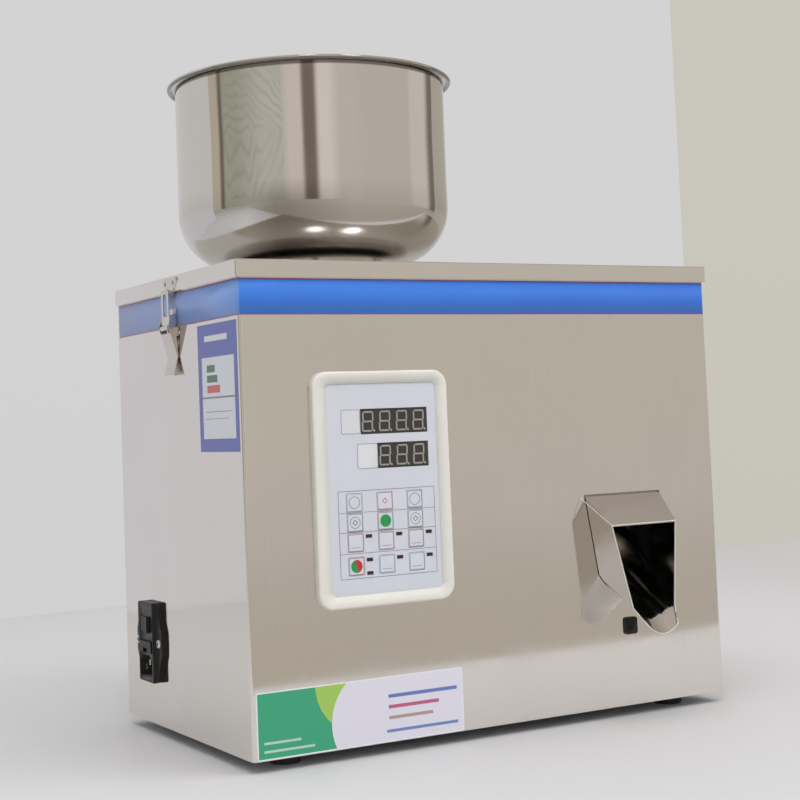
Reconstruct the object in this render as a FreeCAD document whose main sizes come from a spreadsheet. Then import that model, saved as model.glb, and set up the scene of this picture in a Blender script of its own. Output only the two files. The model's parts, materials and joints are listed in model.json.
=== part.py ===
import FreeCAD, Part
import math
import os
from types import SimpleNamespace

import Sketcher

# Bench-top powder filling machine. Millimetres, +Z up, front towards -Y.
# Sizes are driven by the sheet below. "Local" coordinates start at the middle of the cabinet's bottom;
# place() moves them so that the origin lies at the bottom centre of the whole machine.

os.makedirs("parts", exist_ok=True)
doc = FreeCAD.newDocument("PowderFiller")
sheet = doc.addObject("Spreadsheet::Sheet", "Sizes")

DRIVING_SIZES = [
    # cabinet
    ("cabinetWidth", 400), ("cabinetDepth", 232), ("cabinetHeight", 329), ("wallSheet", 1.2),
    ("bendRadius", 2.5), ("topFlange", 11), ("rearFlange", 14), ("panFlange", 16),
    ("footHeight", 8), ("footDiameter", 21), ("footInsetX", 35), ("footInsetY", 26), ("footEdge", 1),
    ("footSeat", 3.6), ("slotLength", 46), ("slotWidth", 5), ("slotPitch", 12), ("slotBottom", 50),
    ("slotMiddle", 100), ("screwHead", 7), ("screwShank", 4), ("screwHeadHeight", 2.4), ("screwLowHead", 1.2),
    ("screwPlay", 0.3), ("screwGrip", 4), ("screwInset", 24),
    # lid and bowl
    ("lidSheet", 1), ("lidSkirt", 12), ("lidGap", 0.4),
    ("bowlOffset", 82), ("bowlDiameter", 206), ("bowlHeight", 140), ("bowlCorner", 42), ("bowlSheet", 1),
    ("rimWidth", 6), ("rimRoll", 1.7), ("neckDiameter", 44), ("neckLength", 64), ("neckGap", 0.8),
    ("seatHeight", 8), ("seatDiameter", 104), ("seatWidth", 14),
    # toggle latches
    ("latchSheet", 1), ("latchWidth", 14.6), ("latchPivotOut", 3.8), ("latchPivotBelow", 31),
    ("latchBaseUp", 8), ("latchBaseDown", 12), ("latchThrow", 6), ("latchPin", 1.2), ("leverSheet", 0.8),
    ("leverBoss", 2.4), ("leverDepth", 7.7), ("leverNeckDepth", 1.2), ("leverNeck", 27), ("leverLength", 40),
    ("leverFlare", 4.2), ("leverWebGap", 4), ("linkSheet", 0.8), ("keeperWidth", 26), ("keeperFoot", 14),
    ("keeperFlat", 3), ("keeperSheet", 1), ("keeperLip", 4), ("keeperHeight", 15), ("keeperInset", 1.5),
    ("keeperHole", 3.2), ("keeperHoles", 15), ("keeperHoleDown", 4), ("latchPlay", 0.3), ("pinPlay", 0.05),
    # control panel
    ("panelFromCentre", 96.7), ("panelMiddle", 173.2), ("panelWidth", 106.5), ("panelHeight", 160.3),
    ("panelCorner", 11), ("panelThickness", 5), ("panelEdge", 1.6), ("panelWall", 2), ("windowInset", 1.5),
    ("membraneWidth", 87), ("membraneHeight", 143), ("membraneCorner", 4), ("membraneSheet", 0.6),
    ("membraneRecess", 1.2), ("membranePlay", 0.1),
    ("keySize", 12), ("keyCorner", 0.8), ("keyEdge", 0.3), ("keyPitchX", 23.75), ("keyPitchZ", 13.55),
    ("keyLastGap", 2.3), ("keyBelow", 9.2), ("keyShift", 0.45), ("keyProud", 0.25), ("keyRim", 0.5),
    ("keyRimSheet", 0.8), ("keyTravel", 0.5), ("keyPlay", 0.3),
    ("weightWidth", 52.6), ("displayHeight", 16.8), ("weightUp", 45.5), ("countWidth", 40.2),
    ("countUp", 21.9), ("displayRight", 35.8), ("displayRecess", 0.3),
    ("lampWidth", 4.4), ("lampHeight", 1.9), ("lampAcross", 10.4), ("lampUp", 3.9), ("lampDown", 5.2),
    ("lampProud", 0.2), ("boardGap", 7), ("boardSheet", 1.6), ("boardMargin", 13.5), ("standoffDiameter", 6),
    ("switchSize", 6), ("switchHeight", 4), ("switchStem", 3.5), ("switchPlay", 0.1),
    # discharge chute
    ("chuteFromCentre", 110.5), ("chuteTop", 156.5), ("chuteWidth", 70), ("chuteSheet", 1),
    ("roofReach", 24), ("roofDrop", 20.5), ("mouthReach", 31), ("mouthBottom", 75.5),
    ("cheekTaperDown", 0.165), ("cheekTaperOut", 0.067), ("slideAtPanel", 98.5), ("slideSag", 15),
    ("mouthSag", 9), ("slideInside", 72),
    ("tongueReach", 41), ("tongueTip", 56), ("tongueWidth", 27), ("tongueSag", 7), ("hoodFlange", 8),
    ("chutePlay", 0.5),
    ("sensorFromCentre", 111.8), ("sensorMiddle", 58.6), ("sensorWidth", 11.5), ("sensorHeight", 12.7),
    ("sensorNeck", 1), ("sensorProud", 1.8), ("sensorCorner", 2.2), ("sensorDepth", 11), ("lensDiameter", 3),
    ("lensProud", 0.5), ("lensBelow", 3),
    # power inlet
    ("inletFromCentre", 60), ("inletMiddle", 61), ("inletHeight", 59), ("inletWidth", 50), ("inletEar", 8),
    ("inletBlock", 30), ("inletFlange", 3), ("inletRaise", 3), ("inletCorner", 2), ("inletNeck", 1.3),
    ("inletDepth", 24), ("inletScrews", 40), ("inletScrewHead", 6.6), ("inletScrewDome", 1.4),
    ("socketWidth", 24.4), ("socketHeight", 16), ("socketChamfer", 4.5), ("socketDepth", 18),
    ("socketBelow", 17.4), ("contactLength", 15), ("contactPitch", 7), ("contactUp", 4), ("contactSheet", 2),
    ("contactHeight", 4), ("rockerWidth", 19), ("rockerHeight", 12), ("rockerAbove", 13), ("rockerTilt", 8),
    ("rockerPlay", 0.3), ("rockerPivot", 4), ("rockerWell", 8),
    ("fuseWidth", 24), ("fuseHeight", 8.6), ("fuseBelow", 3.4), ("fuseDepth", 19), ("fuseProud", 0.8),
    ("drawerPlay", 0.1), ("drawerWall", 1),
    # feeder
    ("troughLength", 238), ("troughWidth", 68), ("troughHeight", 34), ("troughSheet", 1.5),
    ("troughFloor", 262), ("troughRear", 140), ("troughFromMiddle", 7), ("troughBend", 8),
    ("feederWidth", 54), ("feederRear", 126),
    ("feederLength", 162), ("standTop", 148), ("standSheet", 2), ("standWidth", 76), ("standFoot", 16),
    ("standRear", 150), ("standLength", 210),
    ("isolatorDiameter", 18), ("isolatorHeight", 15), ("baseBlock", 27), ("springInset", 20),
    ("springSheet", 1.5), ("springLean", 20), ("springPitch", 130), ("lugLength", 14), ("lugHeight", 16),
    ("cradleSheet", 6), ("cradleDepth", 20), ("magnetGap", 2.5), ("coreBack", 72), ("coreLength", 40),
    ("coreArm", 7), ("coreWidth", 30), ("coreHeight", 38), ("coilWall", 5), ("coilPlay", 0.4),
    ("armatureSheet", 5),
    # weighing
    ("bucketFromCentre", 111), ("bucketWidth", 62), ("bucketTop", 252), ("bucketOutlet", 172),
    ("bucketFront", 74), ("bucketRear", 30), ("bucketMouth", 26), ("bucketSheet", 1), ("bucketStraight", 16),
    ("outletWidth", 52), ("hingeBehind", 3), ("hingeBelow", 1), ("earGap", 0.6), ("earRise", 20),
    ("flapSheet", 1.2), ("flapPin", 1.5), ("flapKnuckle", 2.2), ("flapPlay", 0.4),
    ("armFromMiddle", 34.5), ("armLength", 14), ("armSheet", 3), ("pushArm", 10),
    ("solenoidWidth", 16), ("solenoidDepth", 18), ("solenoidHeight", 30), ("solenoidRise", 17),
    ("solenoidCap", 2), ("plungerDiameter", 8), ("plungerLength", 16), ("rodAside", 5),
    ("cellWidth", 12.7), ("cellLength", 70), ("cellHeight", 12.7), ("cellBottom", 200),
    ("postSheet", 2), ("postDepth", 24), ("hangerSheet", 2), ("hangerFoot", 20),
    # power supply
    ("supplyLength", 98), ("supplyWidth", 64), ("supplyHeight", 36), ("supplyFromCentre", 49),
    ("supplyStep", 14),
]


class Size:
    """A number together with the sheet formula that gives it."""

    def __init__(self, value, formula):
        self.value = value
        self.formula = formula

    def combined(self, sign, other, value):
        return Size(value, "(%s %s %s)" % (self.formula, sign, sized(other).formula))

    def __add__(self, other):
        return self.combined("+", other, self.value + sized(other).value)

    def __sub__(self, other):
        return self.combined("-", other, self.value - sized(other).value)

    def __mul__(self, other):
        return self.combined("*", other, self.value * sized(other).value)

    def __truediv__(self, other):
        return self.combined("/", other, self.value / sized(other).value)

    def __radd__(self, other):
        return sized(other) + self

    def __rsub__(self, other):
        return sized(other) - self

    def __rmul__(self, other):
        return sized(other) * self

    def __rtruediv__(self, other):
        return sized(other) / self

    def __neg__(self):
        return sized(0) - self


def sized(amount):
    return amount if isinstance(amount, Size) else Size(float(amount), "%.9g" % amount)


def sine(angle):
    return Size(math.sin(math.radians(angle.value)), "sin(%s)" % angle.formula)


def cosine(angle):
    return Size(math.cos(math.radians(angle.value)), "cos(%s)" % angle.formula)


def readSheet():
    sizes = {}
    for row, (alias, value) in enumerate(DRIVING_SIZES, start=1):
        sheet.set("A%d" % row, alias)
        sheet.set("B%d" % row, "%g" % value)
        sheet.setAlias("B%d" % row, alias)
        sizes[alias] = Size(float(value), "Sizes." + alias)
    doc.recompute()
    return SimpleNamespace(**sizes)


d = readSheet()

# Places that several pieces share, all in local coordinates.
halfWidth = d.cabinetWidth / 2
halfDepth = d.cabinetDepth / 2
front = -halfDepth
innerFront = front + d.wallSheet
rearFace = halfDepth - d.wallSheet
screwHole = d.screwShank / 2 + d.screwPlay
lidTop = d.cabinetHeight + d.lidSheet
lidOverhang = d.lidGap + d.lidSheet
bowlX = -d.bowlOffset
cabinetShift = (d.tongueReach - lidOverhang) / 2

# toggle latches, outward from the wall and up from the lever's pivot
latchPivot = d.cabinetHeight - d.latchPivotBelow
leverOuter = d.latchWidth / 2 + d.latchSheet + d.latchPlay + d.leverSheet
linkOut = d.leverDepth - d.latchPin - d.linkSheet
keeperLipFace = linkOut - d.linkSheet / 2 - d.latchPlay
keeperFootUp = lidTop - latchPivot - d.keeperHeight
linkTop = keeperFootUp + d.keeperLip

# control panel, inward from the cabinet's front face
panelX = -d.panelFromCentre
panelFloor = -d.panelThickness + d.membraneRecess
membraneFace = panelFloor - d.membraneSheet
keyFace = membraneFace - d.keyProud
keyRimFace = panelFloor + d.panelWall
keyBack = keyRimFace + d.keyRimSheet
boardFace = d.boardGap
boardWidth = d.membraneWidth + d.boardMargin * 2
boardHeight = d.membraneHeight + d.boardMargin
weightX = d.displayRight - d.weightWidth / 2
countX = d.displayRight - d.countWidth / 2

# chute, sensor and power inlet
chuteX = d.chuteFromCentre
sensorX = d.sensorFromCentre
inletY = d.inletFromCentre
inletFace = d.inletFlange + d.inletRaise

# feeder
feederY = -d.troughFromMiddle
blockBottom = d.standTop + d.isolatorHeight
blockTop = blockBottom + d.baseBlock
cradleTop = d.troughFloor - d.troughSheet
cradleBottom = cradleTop - d.cradleDepth
springAcross = d.springSheet / cosine(d.springLean)

# weighing, across from the bucket's middle
bucketX = d.bucketFromCentre
outletHalf = d.outletWidth / 2
hingeY = -d.bucketFront + d.bucketMouth + d.hingeBehind
hingeZ = d.bucketOutlet - d.hingeBelow
rodX = d.armFromMiddle + d.rodAside
solenoidBottom = hingeZ + d.solenoidRise
cellTop = d.cellBottom + d.cellHeight
cellRear = d.bucketRear + d.hangerSheet * 2 + d.cellLength

PLANES = {"XY": "XY_Plane", "XZ": "XZ_Plane", "YZ": "YZ_Plane"}
subParts = []
cuts = []


def bind(thing, name, amount):
    thing.setExpression(name, sized(amount).formula)


def newBody(name):
    body = doc.addObject("PartDesign::Body", name)
    body.Label = name
    body.AllowCompound = True
    subParts.append(body)
    return body


def place(piece, x=0, y=0, z=0, axis=None, angle=0):
    """Puts a piece's own origin at the local point x, y, z, turned about axis."""
    if axis:
        piece.Placement = FreeCAD.Placement(FreeCAD.Vector(), FreeCAD.Rotation(FreeCAD.Vector(*axis), 1))
        bind(piece, "Placement.Rotation.Angle", angle)
    bind(piece, "Placement.Base.x", x)
    bind(piece, "Placement.Base.y", y + cabinetShift)
    bind(piece, "Placement.Base.z", z + d.footHeight)
    return piece


def point(u, v):
    return FreeCAD.Vector(sized(u).value, sized(v).value, 0)


class Drawing:
    """Collects a sketch's geometry, constraints and sheet formulas, so that they are solved together."""

    def __init__(self):
        self.geometry = []
        self.constraints = []
        self.formulas = []

    def fix(self, amount, kind, *where):
        self.formulas.append((len(self.constraints), sized(amount)))
        self.constraints.append(Sketcher.Constraint(kind, *where, sized(amount).value))

    def pin(self, row, end, u, v):
        self.fix(u, "DistanceX", -1, 1, row, end)
        self.fix(v, "DistanceY", -1, 1, row, end)

    def add(self, shape):
        self.geometry.append(shape)
        return len(self.geometry) - 1

    def arc(self, start, finish, radius):
        """The short arc from start to finish, anticlockwise for a positive radius, with its start's number."""
        p, q = (start, finish) if radius.value > 0 else (finish, start)
        size = abs(radius.value)
        chord = q - p
        rise = math.sqrt(max(size * size - chord.Length ** 2 / 4, 0))
        centre = (p + q) * 0.5 + FreeCAD.Vector(-chord.y, chord.x, 0).normalize() * rise
        angles = [math.atan2(e.y - centre.y, e.x - centre.x) for e in (p, q)]
        if angles[1] < angles[0]:
            angles[1] += 2 * math.pi
        row = self.add(Part.ArcOfCircle(Part.Circle(centre, FreeCAD.Vector(0, 0, 1), size), *angles))
        self.fix(radius if radius.value > 0 else -radius, "Radius", row)
        return row, (1 if radius.value > 0 else 2)

    def loop(self, corners):
        """A closed outline of corners (u, v), or (u, v, radius) where an arc leads to the next corner."""
        ends = []
        for i, corner in enumerate(corners):
            start = point(*corner[:2])
            finish = point(*corners[(i + 1) % len(corners)][:2])
            if len(corner) == 3:
                row, first = self.arc(start, finish, sized(corner[2]))
            else:
                row, first = self.add(Part.LineSegment(start, finish)), 1
            ends.append((row, first, 3 - first))
            self.pin(row, first, *corner[:2])
        for i, (row, _, last) in enumerate(ends):
            nextRow, nextFirst, _ = ends[(i + 1) % len(ends)]
            self.constraints.append(Sketcher.Constraint("Coincident", row, last, nextRow, nextFirst))

    def circle(self, u, v, radius):
        row = self.add(Part.Circle(point(u, v), FreeCAD.Vector(0, 0, 1), sized(radius).value))
        self.pin(row, 3, u, v)
        self.fix(radius, "Radius", row)


def newSketch(body, plane, loops, offset=0):
    sketch = body.newObject("Sketcher::SketchObject", body.Label + "_sketch")
    support = [f for f in body.Origin.OriginFeatures if f.Role == PLANES[plane]][0]
    sketch.AttachmentSupport = [(support, "")]
    sketch.MapMode = "FlatFace"
    bind(sketch, "AttachmentOffset.Base.z", offset)
    drawing = Drawing()
    for loop in loops:
        if loop[0] == "circle":
            drawing.circle(*loop[1:])
        else:
            drawing.loop(loop)
    sketch.addGeometry(drawing.geometry)
    sketch.addConstraint(drawing.constraints)
    for row, amount in drawing.formulas:
        bind(sketch, "Constraints[%d]" % row, amount)
    return sketch


def pad(body, plane, loops, low, high):
    """Material between low and high along the plane's axis (X for YZ, Y for XZ, Z for XY)."""
    low, high = sized(low), sized(high)
    sketch = newSketch(body, plane, loops, -high if plane == "XZ" else low)
    feature = body.newObject("PartDesign::Pad", body.Label + "_pad")
    feature.Profile = sketch
    bind(feature, "Length", high - low)
    return feature


def pocket(body, plane, loops, low, high):
    """Takes away what lies between low and high along the plane's axis."""
    low, high = sized(low), sized(high)
    sketch = newSketch(body, plane, loops, -low if plane == "XZ" else high)
    before = body.Tip
    feature = body.newObject("PartDesign::Pocket", body.Label + "_pocket")
    feature.Profile = sketch
    bind(feature, "Length", high - low)
    cuts.append((feature, before))
    return feature


def revolve(body, loops, plane="XZ"):
    sketch = newSketch(body, plane, loops)
    feature = body.newObject("PartDesign::Revolution", body.Label + "_revolution")
    feature.Profile = sketch
    feature.ReferenceAxis = (sketch, ["V_Axis"])
    feature.Angle = 360
    return feature


def groove(body, loops, plane="XZ"):
    sketch = newSketch(body, plane, loops)
    before = body.Tip
    feature = body.newObject("PartDesign::Groove", body.Label + "_groove")
    feature.Profile = sketch
    feature.ReferenceAxis = (sketch, ["V_Axis"])
    feature.Angle = 360
    cuts.append((feature, before))
    return feature


def loft(body, plane, sections, kind="PartDesign::AdditiveLoft"):
    """Joins outlines on parallel planes: sections are (offset, loop)."""
    sketches = [newSketch(body, plane, [loop], offset) for offset, loop in sections]
    before = body.Tip
    feature = body.newObject(kind, body.Label + "_loft")
    feature.Profile = sketches[0]
    feature.Sections = sketches[1:]
    feature.Ruled = True
    if kind == "PartDesign::SubtractiveLoft":
        cuts.append((feature, before))
    return feature


def rounded(body, amount, chosen, kind="PartDesign::Fillet"):
    """Rounds (or bevels) the edges of the body's last feature that chosen(edge) picks."""
    doc.recompute()
    base = body.Tip
    names = ["Edge%d" % (i + 1) for i, edge in enumerate(base.Shape.Edges) if chosen(edge)]
    feature = body.newObject(kind, body.Label + "_edges")
    feature.Base = (base, names)
    bind(feature, "Radius" if kind == "PartDesign::Fillet" else "Size", amount)
    return feature


def repeatUp(body, feature, pitch, count):
    """Repeats a feature upwards along its sketch's vertical axis."""
    pattern = body.newObject("PartDesign::LinearPattern", body.Label + "_pattern")
    pattern.Originals = [feature]
    pattern.Direction = (feature.Profile[0], ["V_Axis"])
    pattern.Occurrences = count
    bind(pattern, "Length", pitch * (count - 1))
    body.Tip = pattern


def box(x0, x1, y0, y1):
    return [(x0, y0), (x1, y0), (x1, y1), (x0, y1)]


def roundBox(x0, x1, y0, y1, r):
    return [(x0 + r, y0), (x1 - r, y0, r), (x1, y0 + r), (x1, y1 - r, r),
            (x1 - r, y1), (x0 + r, y1, r), (x0, y1 - r), (x0, y0 + r, r)]


def circle(u, v, radius):
    return ("circle", u, v, radius)


def boxAround(u, v, halfU, halfV, more=0):
    """A rectangle about its middle, each half size larger by more."""
    return box(u - halfU - more, u + halfU + more, v - halfV - more, v + halfV + more)


def liesAt(edge, axis, amount):
    """True when the whole edge lies at one place along an axis."""
    limits = edge.BoundBox
    low, high = getattr(limits, axis + "Min"), getattr(limits, axis + "Max")
    return abs(low - amount.value) < 1e-4 and abs(high - amount.value) < 1e-4


def group(name, members):
    """Like pieces that share one node."""
    for member in members:
        subParts.remove(member)
    compound = doc.addObject("Part::Compound", name)
    compound.Label = name
    compound.Links = members
    subParts.append(compound)
    return compound


# Cabinet

def cabinetShell():
    body = newBody("cabinet_shell")
    bend = d.bendRadius
    inside = bend - d.wallSheet
    outer = halfWidth
    inner = halfWidth - d.wallSheet
    flange = halfWidth - d.rearFlange
    outline = [
        (-outer, rearFace), (-outer, front + bend, bend), (-outer + bend, front),
        (outer - bend, front, bend), (outer, front + bend), (outer, rearFace),
        (flange, rearFace), (flange, rearFace - d.wallSheet), (inner, rearFace - d.wallSheet),
        (inner, front + bend, -inside), (outer - bend, innerFront), (-outer + bend, innerFront, -inside),
        (-inner, front + bend), (-inner, rearFace - d.wallSheet), (-flange, rearFace - d.wallSheet),
        (-flange, rearFace),
    ]
    pad(body, "XY", [outline], 0, d.cabinetHeight)
    rim = [
        box(-inner, inner, innerFront, rearFace),
        box(-halfWidth + d.topFlange, halfWidth - d.topFlange, front + d.topFlange, rearFace - d.topFlange),
    ]
    pad(body, "XY", rim, d.cabinetHeight - d.wallSheet, d.cabinetHeight)
    window = boxAround(panelX, d.panelMiddle, d.membraneWidth / 2, d.membraneHeight / 2, -d.windowInset)
    sensorPlay = d.chutePlay - d.sensorNeck
    sensorHole = boxAround(sensorX, d.sensorMiddle, d.sensorWidth / 2, d.sensorHeight / 2, sensorPlay)
    pocket(body, "XZ", [window, sensorHole, chuteOpening()], front - 1, innerFront + 1)
    inletPlay = d.rockerPlay - d.inletNeck
    inletHole = boxAround(inletY, d.inletMiddle, d.inletBlock / 2, d.inletHeight / 2, inletPlay)
    screwHoles = [circle(y, z, screwHole) for y, z in inletScrewPlaces()]
    pocket(body, "YZ", [inletHole] + screwHoles, -halfWidth - 1, -halfWidth + d.wallSheet + 1)
    rearHoles = [circle(x, z, screwHole) for x, z in rearScrewPlaces()]
    pocket(body, "XZ", rearHoles, rearFace - d.wallSheet - 1, rearFace + 1)
    place(body)


def rearScrewPlaces():
    across = halfWidth - d.rearFlange / 2
    heights = (d.screwInset, d.cabinetHeight / 2, d.cabinetHeight - d.screwInset)
    return [(side * across, z) for side in (-1, 1) for z in heights]


def footPlaces():
    x, y = halfWidth - d.footInsetX, halfDepth - d.footInsetY
    return [(a * x, b * y) for a in (-1, 1) for b in (-1, 1)]


def basePan():
    body = newBody("base_pan")
    t = d.wallSheet
    side = halfWidth - t
    y0, y1 = innerFront, rearFace - t
    pad(body, "XY", [roundBox(-side, side, y0, y1, d.bendRadius)], 0, t)
    inner = roundBox(-side + t, side - t, y0 + t, y1 - t, d.bendRadius - t)
    pad(body, "XY", [roundBox(-side, side, y0, y1, d.bendRadius), inner], 0, d.panFlange)
    pocket(body, "XY", [circle(x, y, screwHole) for x, y in footPlaces()], -1, t + 1)
    place(body)


def rubberFeet():
    body = newBody("rubber_feet")
    places = footPlaces()
    pad(body, "XY", [circle(x, y, d.footDiameter / 2) for x, y in places], -d.footHeight, 0)
    rounded(body, d.footEdge, lambda edge: liesAt(edge, "Z", -d.footHeight))
    seats = [circle(x, y, d.screwHead / 2 + d.screwPlay) for x, y in places]
    pocket(body, "XY", seats, -d.footHeight - 1, -d.footHeight + d.footSeat)
    pocket(body, "XY", [circle(x, y, screwHole) for x, y in places], -d.footHeight, 1)
    place(body)


def rearPanel():
    body = newBody("rear_panel")
    pad(body, "XZ", [box(-halfWidth, halfWidth, 0, d.cabinetHeight)], rearFace, halfDepth)
    holes = [circle(x, z, screwHole) for x, z in rearScrewPlaces()]
    pocket(body, "XZ", holes, rearFace - 1, halfDepth + 1)
    low, high, half = d.slotBottom - d.slotWidth / 2, d.slotBottom + d.slotWidth / 2, d.slotLength / 2
    middles, end = (-d.slotMiddle, d.slotMiddle), d.slotWidth * 0.49
    pair = [roundBox(x - half, x + half, low, high, end) for x in middles]
    slots = pocket(body, "XZ", pair, rearFace - 1, halfDepth + 1)
    repeatUp(body, slots, d.slotPitch, 7)
    place(body)


def inletScrewPlaces():
    return [(inletY + side * d.inletScrews / 2, d.inletMiddle) for side in (-1, 1)]


def caseScrews():
    head, shank = d.screwHead / 2, d.screwShank / 2
    foot = newBody("foot_screws")
    seat, nutTop = -d.footHeight + d.footSeat, d.wallSheet + d.screwHeadHeight
    pad(foot, "XY", [circle(x, y, head) for x, y in footPlaces()], seat - d.screwHeadHeight, seat)
    pad(foot, "XY", [circle(x, y, shank) for x, y in footPlaces()], seat, nutTop)
    pad(foot, "XY", [circle(x, y, head) for x, y in footPlaces()], d.wallSheet, nutTop)
    place(foot)
    rear = newBody("rear_screws")
    pad(rear, "XZ", [circle(x, z, head) for x, z in rearScrewPlaces()], halfDepth, halfDepth + d.screwLowHead)
    pad(rear, "XZ", [circle(x, z, shank) for x, z in rearScrewPlaces()], rearFace - d.screwGrip, halfDepth)
    place(rear)
    inlet = newBody("inlet_screws")
    face = -halfWidth - d.inletFlange
    heads = [circle(y, z, d.inletScrewHead / 2) for y, z in inletScrewPlaces()]
    pad(inlet, "YZ", heads, face - d.inletScrewDome, face)
    rounded(inlet, d.inletScrewDome * 0.8, lambda edge: liesAt(edge, "X", face - d.inletScrewDome))
    pad(inlet, "YZ", [circle(y, z, shank) for y, z in inletScrewPlaces()], face, -halfWidth + d.screwGrip)
    place(inlet)
    group("case_screws", [foot, rear, inlet])


# Lid and bowl

def lid():
    body = newBody("lid")
    x, y = halfWidth + lidOverhang, halfDepth + lidOverhang
    inX, inY = halfWidth + d.lidGap, halfDepth + d.lidGap
    skirt = lidTop - d.lidSkirt
    pad(body, "XY", [box(-x, x, -y, y)], d.cabinetHeight, lidTop)
    pad(body, "XY", [box(-x, x, -y, y), box(-inX, inX, -inY, inY)], skirt, lidTop)
    rounded(body, d.lidSheet * 0.7, lambda edge: liesAt(edge, "Z", lidTop))
    pocket(body, "XY", [circle(bowlX, 0, d.neckDiameter / 2 + d.neckGap)], d.cabinetHeight - 1, lidTop + 1)
    place(body)


def seatRing():
    body = newBody("seat_ring")
    outer = d.seatDiameter / 2
    revolve(body, [box(outer - d.seatWidth, outer, 0, d.seatHeight)])
    place(body, x=bowlX, z=lidTop)


def bowl():
    body = newBody("bowl")
    wall, t, c, h = d.bowlDiameter / 2, d.bowlSheet, d.bowlCorner, d.bowlHeight
    neck = d.neckDiameter / 2
    bead = wall + d.rimWidth - d.rimRoll
    profile = [
        (neck, -d.neckLength), (neck, 0), (wall - c, 0, c), (wall, c), (wall, h - t), (bead, h - t),
        (bead, h), (wall - t, h), (wall - t, c, t - c), (wall - c, t), (neck - t, t),
        (neck - t, -d.neckLength),
    ]
    revolve(body, [profile])
    revolve(body, [circle(bead, h - d.rimRoll, d.rimRoll)])
    place(body, x=bowlX, z=lidTop + d.seatHeight)


# Toggle latches, modelled for the left side: outward is -X from the cabinet's wall, Z from the lever's pivot.

def sidePlaces():
    return (("left", -halfWidth, 0), ("right", halfWidth, 180))


def placeLatch(body, x, turn):
    return place(body, x=x, z=latchPivot, axis=(0, 0, 1), angle=turn)


def latchKeepers():
    members = []
    for name, x, turn in sidePlaces():
        body = newBody("latch_keeper_" + name)
        face = lidOverhang
        t, lip = d.keeperSheet, keeperLipFace
        top, foot = lidTop - latchPivot - d.keeperInset, keeperFootUp
        profile = [
            (-face, top), (-face - t, top), (-face - t, foot + t), (-lip + t, foot + t),
            (-lip + t, foot + d.keeperLip), (-lip, foot + d.keeperLip), (-lip, foot), (-face, foot),
        ]
        half, narrow = d.keeperWidth / 2, d.keeperFoot / 2
        pad(body, "XZ", [profile], -half, half)
        for side in (-1, 1):
            corner = [
                (side * narrow, foot - 1), (side * narrow, foot + d.keeperLip),
                (side * half, top - d.keeperFlat), (side * (half + 1), top - d.keeperFlat),
                (side * (half + 1), foot - 1),
            ]
            pocket(body, "YZ", [corner], -lip - 1, 0)
        level, radius = top - d.keeperHoleDown, d.keeperHole / 2
        holes = [circle(side * d.keeperHoles / 2, level, radius) for side in (-1, 1)]
        pocket(body, "YZ", holes, -lip - 1, 0)
        rounded(body, d.keeperFlat / 2, lambda edge: liesAt(edge, "Z", top) and edge.BoundBox.YLength < 1e-4)
        members.append(placeLatch(body, x, turn))
    group("latch_keepers", members)


def latchBases():
    members = []
    for name, x, turn in sidePlaces():
        body = newBody("latch_base_" + name)
        t, out, boss = d.latchSheet, d.latchPivotOut, d.latchPin * 2
        profile = [
            (0, -d.latchBaseDown), (-t, -d.latchBaseDown), (-t, -boss * 2), (-out - boss, -boss),
            (-out - boss, boss), (-t, boss * 2), (-t, d.latchBaseUp), (0, d.latchBaseUp),
        ]
        half = d.latchWidth / 2
        pad(body, "XZ", [profile], -half - t, half + t)
        pocket(body, "XZ", [box(-out - boss - 1, -t, -d.latchBaseDown, d.latchBaseUp)], -half, half)
        pocket(body, "XZ", [circle(-out, 0, d.latchPin + d.pinPlay)], -half - t - 1, half + t + 1)
        members.append(placeLatch(body, x, turn))
    group("latch_bases", members)


def leverPivotPins():
    members = []
    for name, x, turn in sidePlaces():
        body = newBody("lever_pivot_pin_" + name)
        reach = leverOuter + d.latchPlay
        pad(body, "XZ", [circle(-d.latchPivotOut, 0, d.latchPin)], -reach, reach)
        for low, high in ((-reach - d.latchSheet * 0.6, -reach), (reach, reach + d.latchSheet * 0.6)):
            pad(body, "XZ", [circle(-d.latchPivotOut, 0, d.latchPin * 1.6)], low, high)
        members.append(placeLatch(body, x, turn))
    group("lever_pivot_pins", members)


def latchLever(name, x, turn):
    body = newBody("latch_lever_" + name)
    out, boss, t = d.latchPivotOut, d.leverBoss, d.leverSheet
    depth, neck = d.leverDepth, d.leverNeckDepth
    low, tip = -d.leverNeck, -d.leverLength
    profile = [
        (-out + boss, 0, boss), (-out - boss, 0), (-depth, -d.latchThrow + t), (-neck, low),
        (-d.leverFlare, tip), (-d.leverFlare + t, tip), (-neck + t, low), (-out + boss, low / 2),
    ]
    pad(body, "XZ", [profile], -leverOuter, leverOuter)
    webTop = -d.latchThrow - d.leverWebGap
    web = depth - (depth - neck) * (d.leverWebGap + t) / (d.leverNeck - d.latchThrow + t)
    channel = [
        (1, d.leverBoss + 1), (1, low - 1), (-neck + t, low), (-web + t, webTop), (-depth - 2, webTop),
        (-depth - 2, d.leverBoss + 1),
    ]
    pocket(body, "XZ", [channel], -leverOuter + t, leverOuter - t)
    pocket(body, "XZ", [circle(-out, 0, d.latchPin + d.pinPlay)], -leverOuter - 1, leverOuter + 1)
    pad(body, "XZ", [circle(-linkOut, -d.latchThrow, d.latchPin)], -leverOuter, leverOuter)
    placeLatch(body, x, turn)


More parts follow.
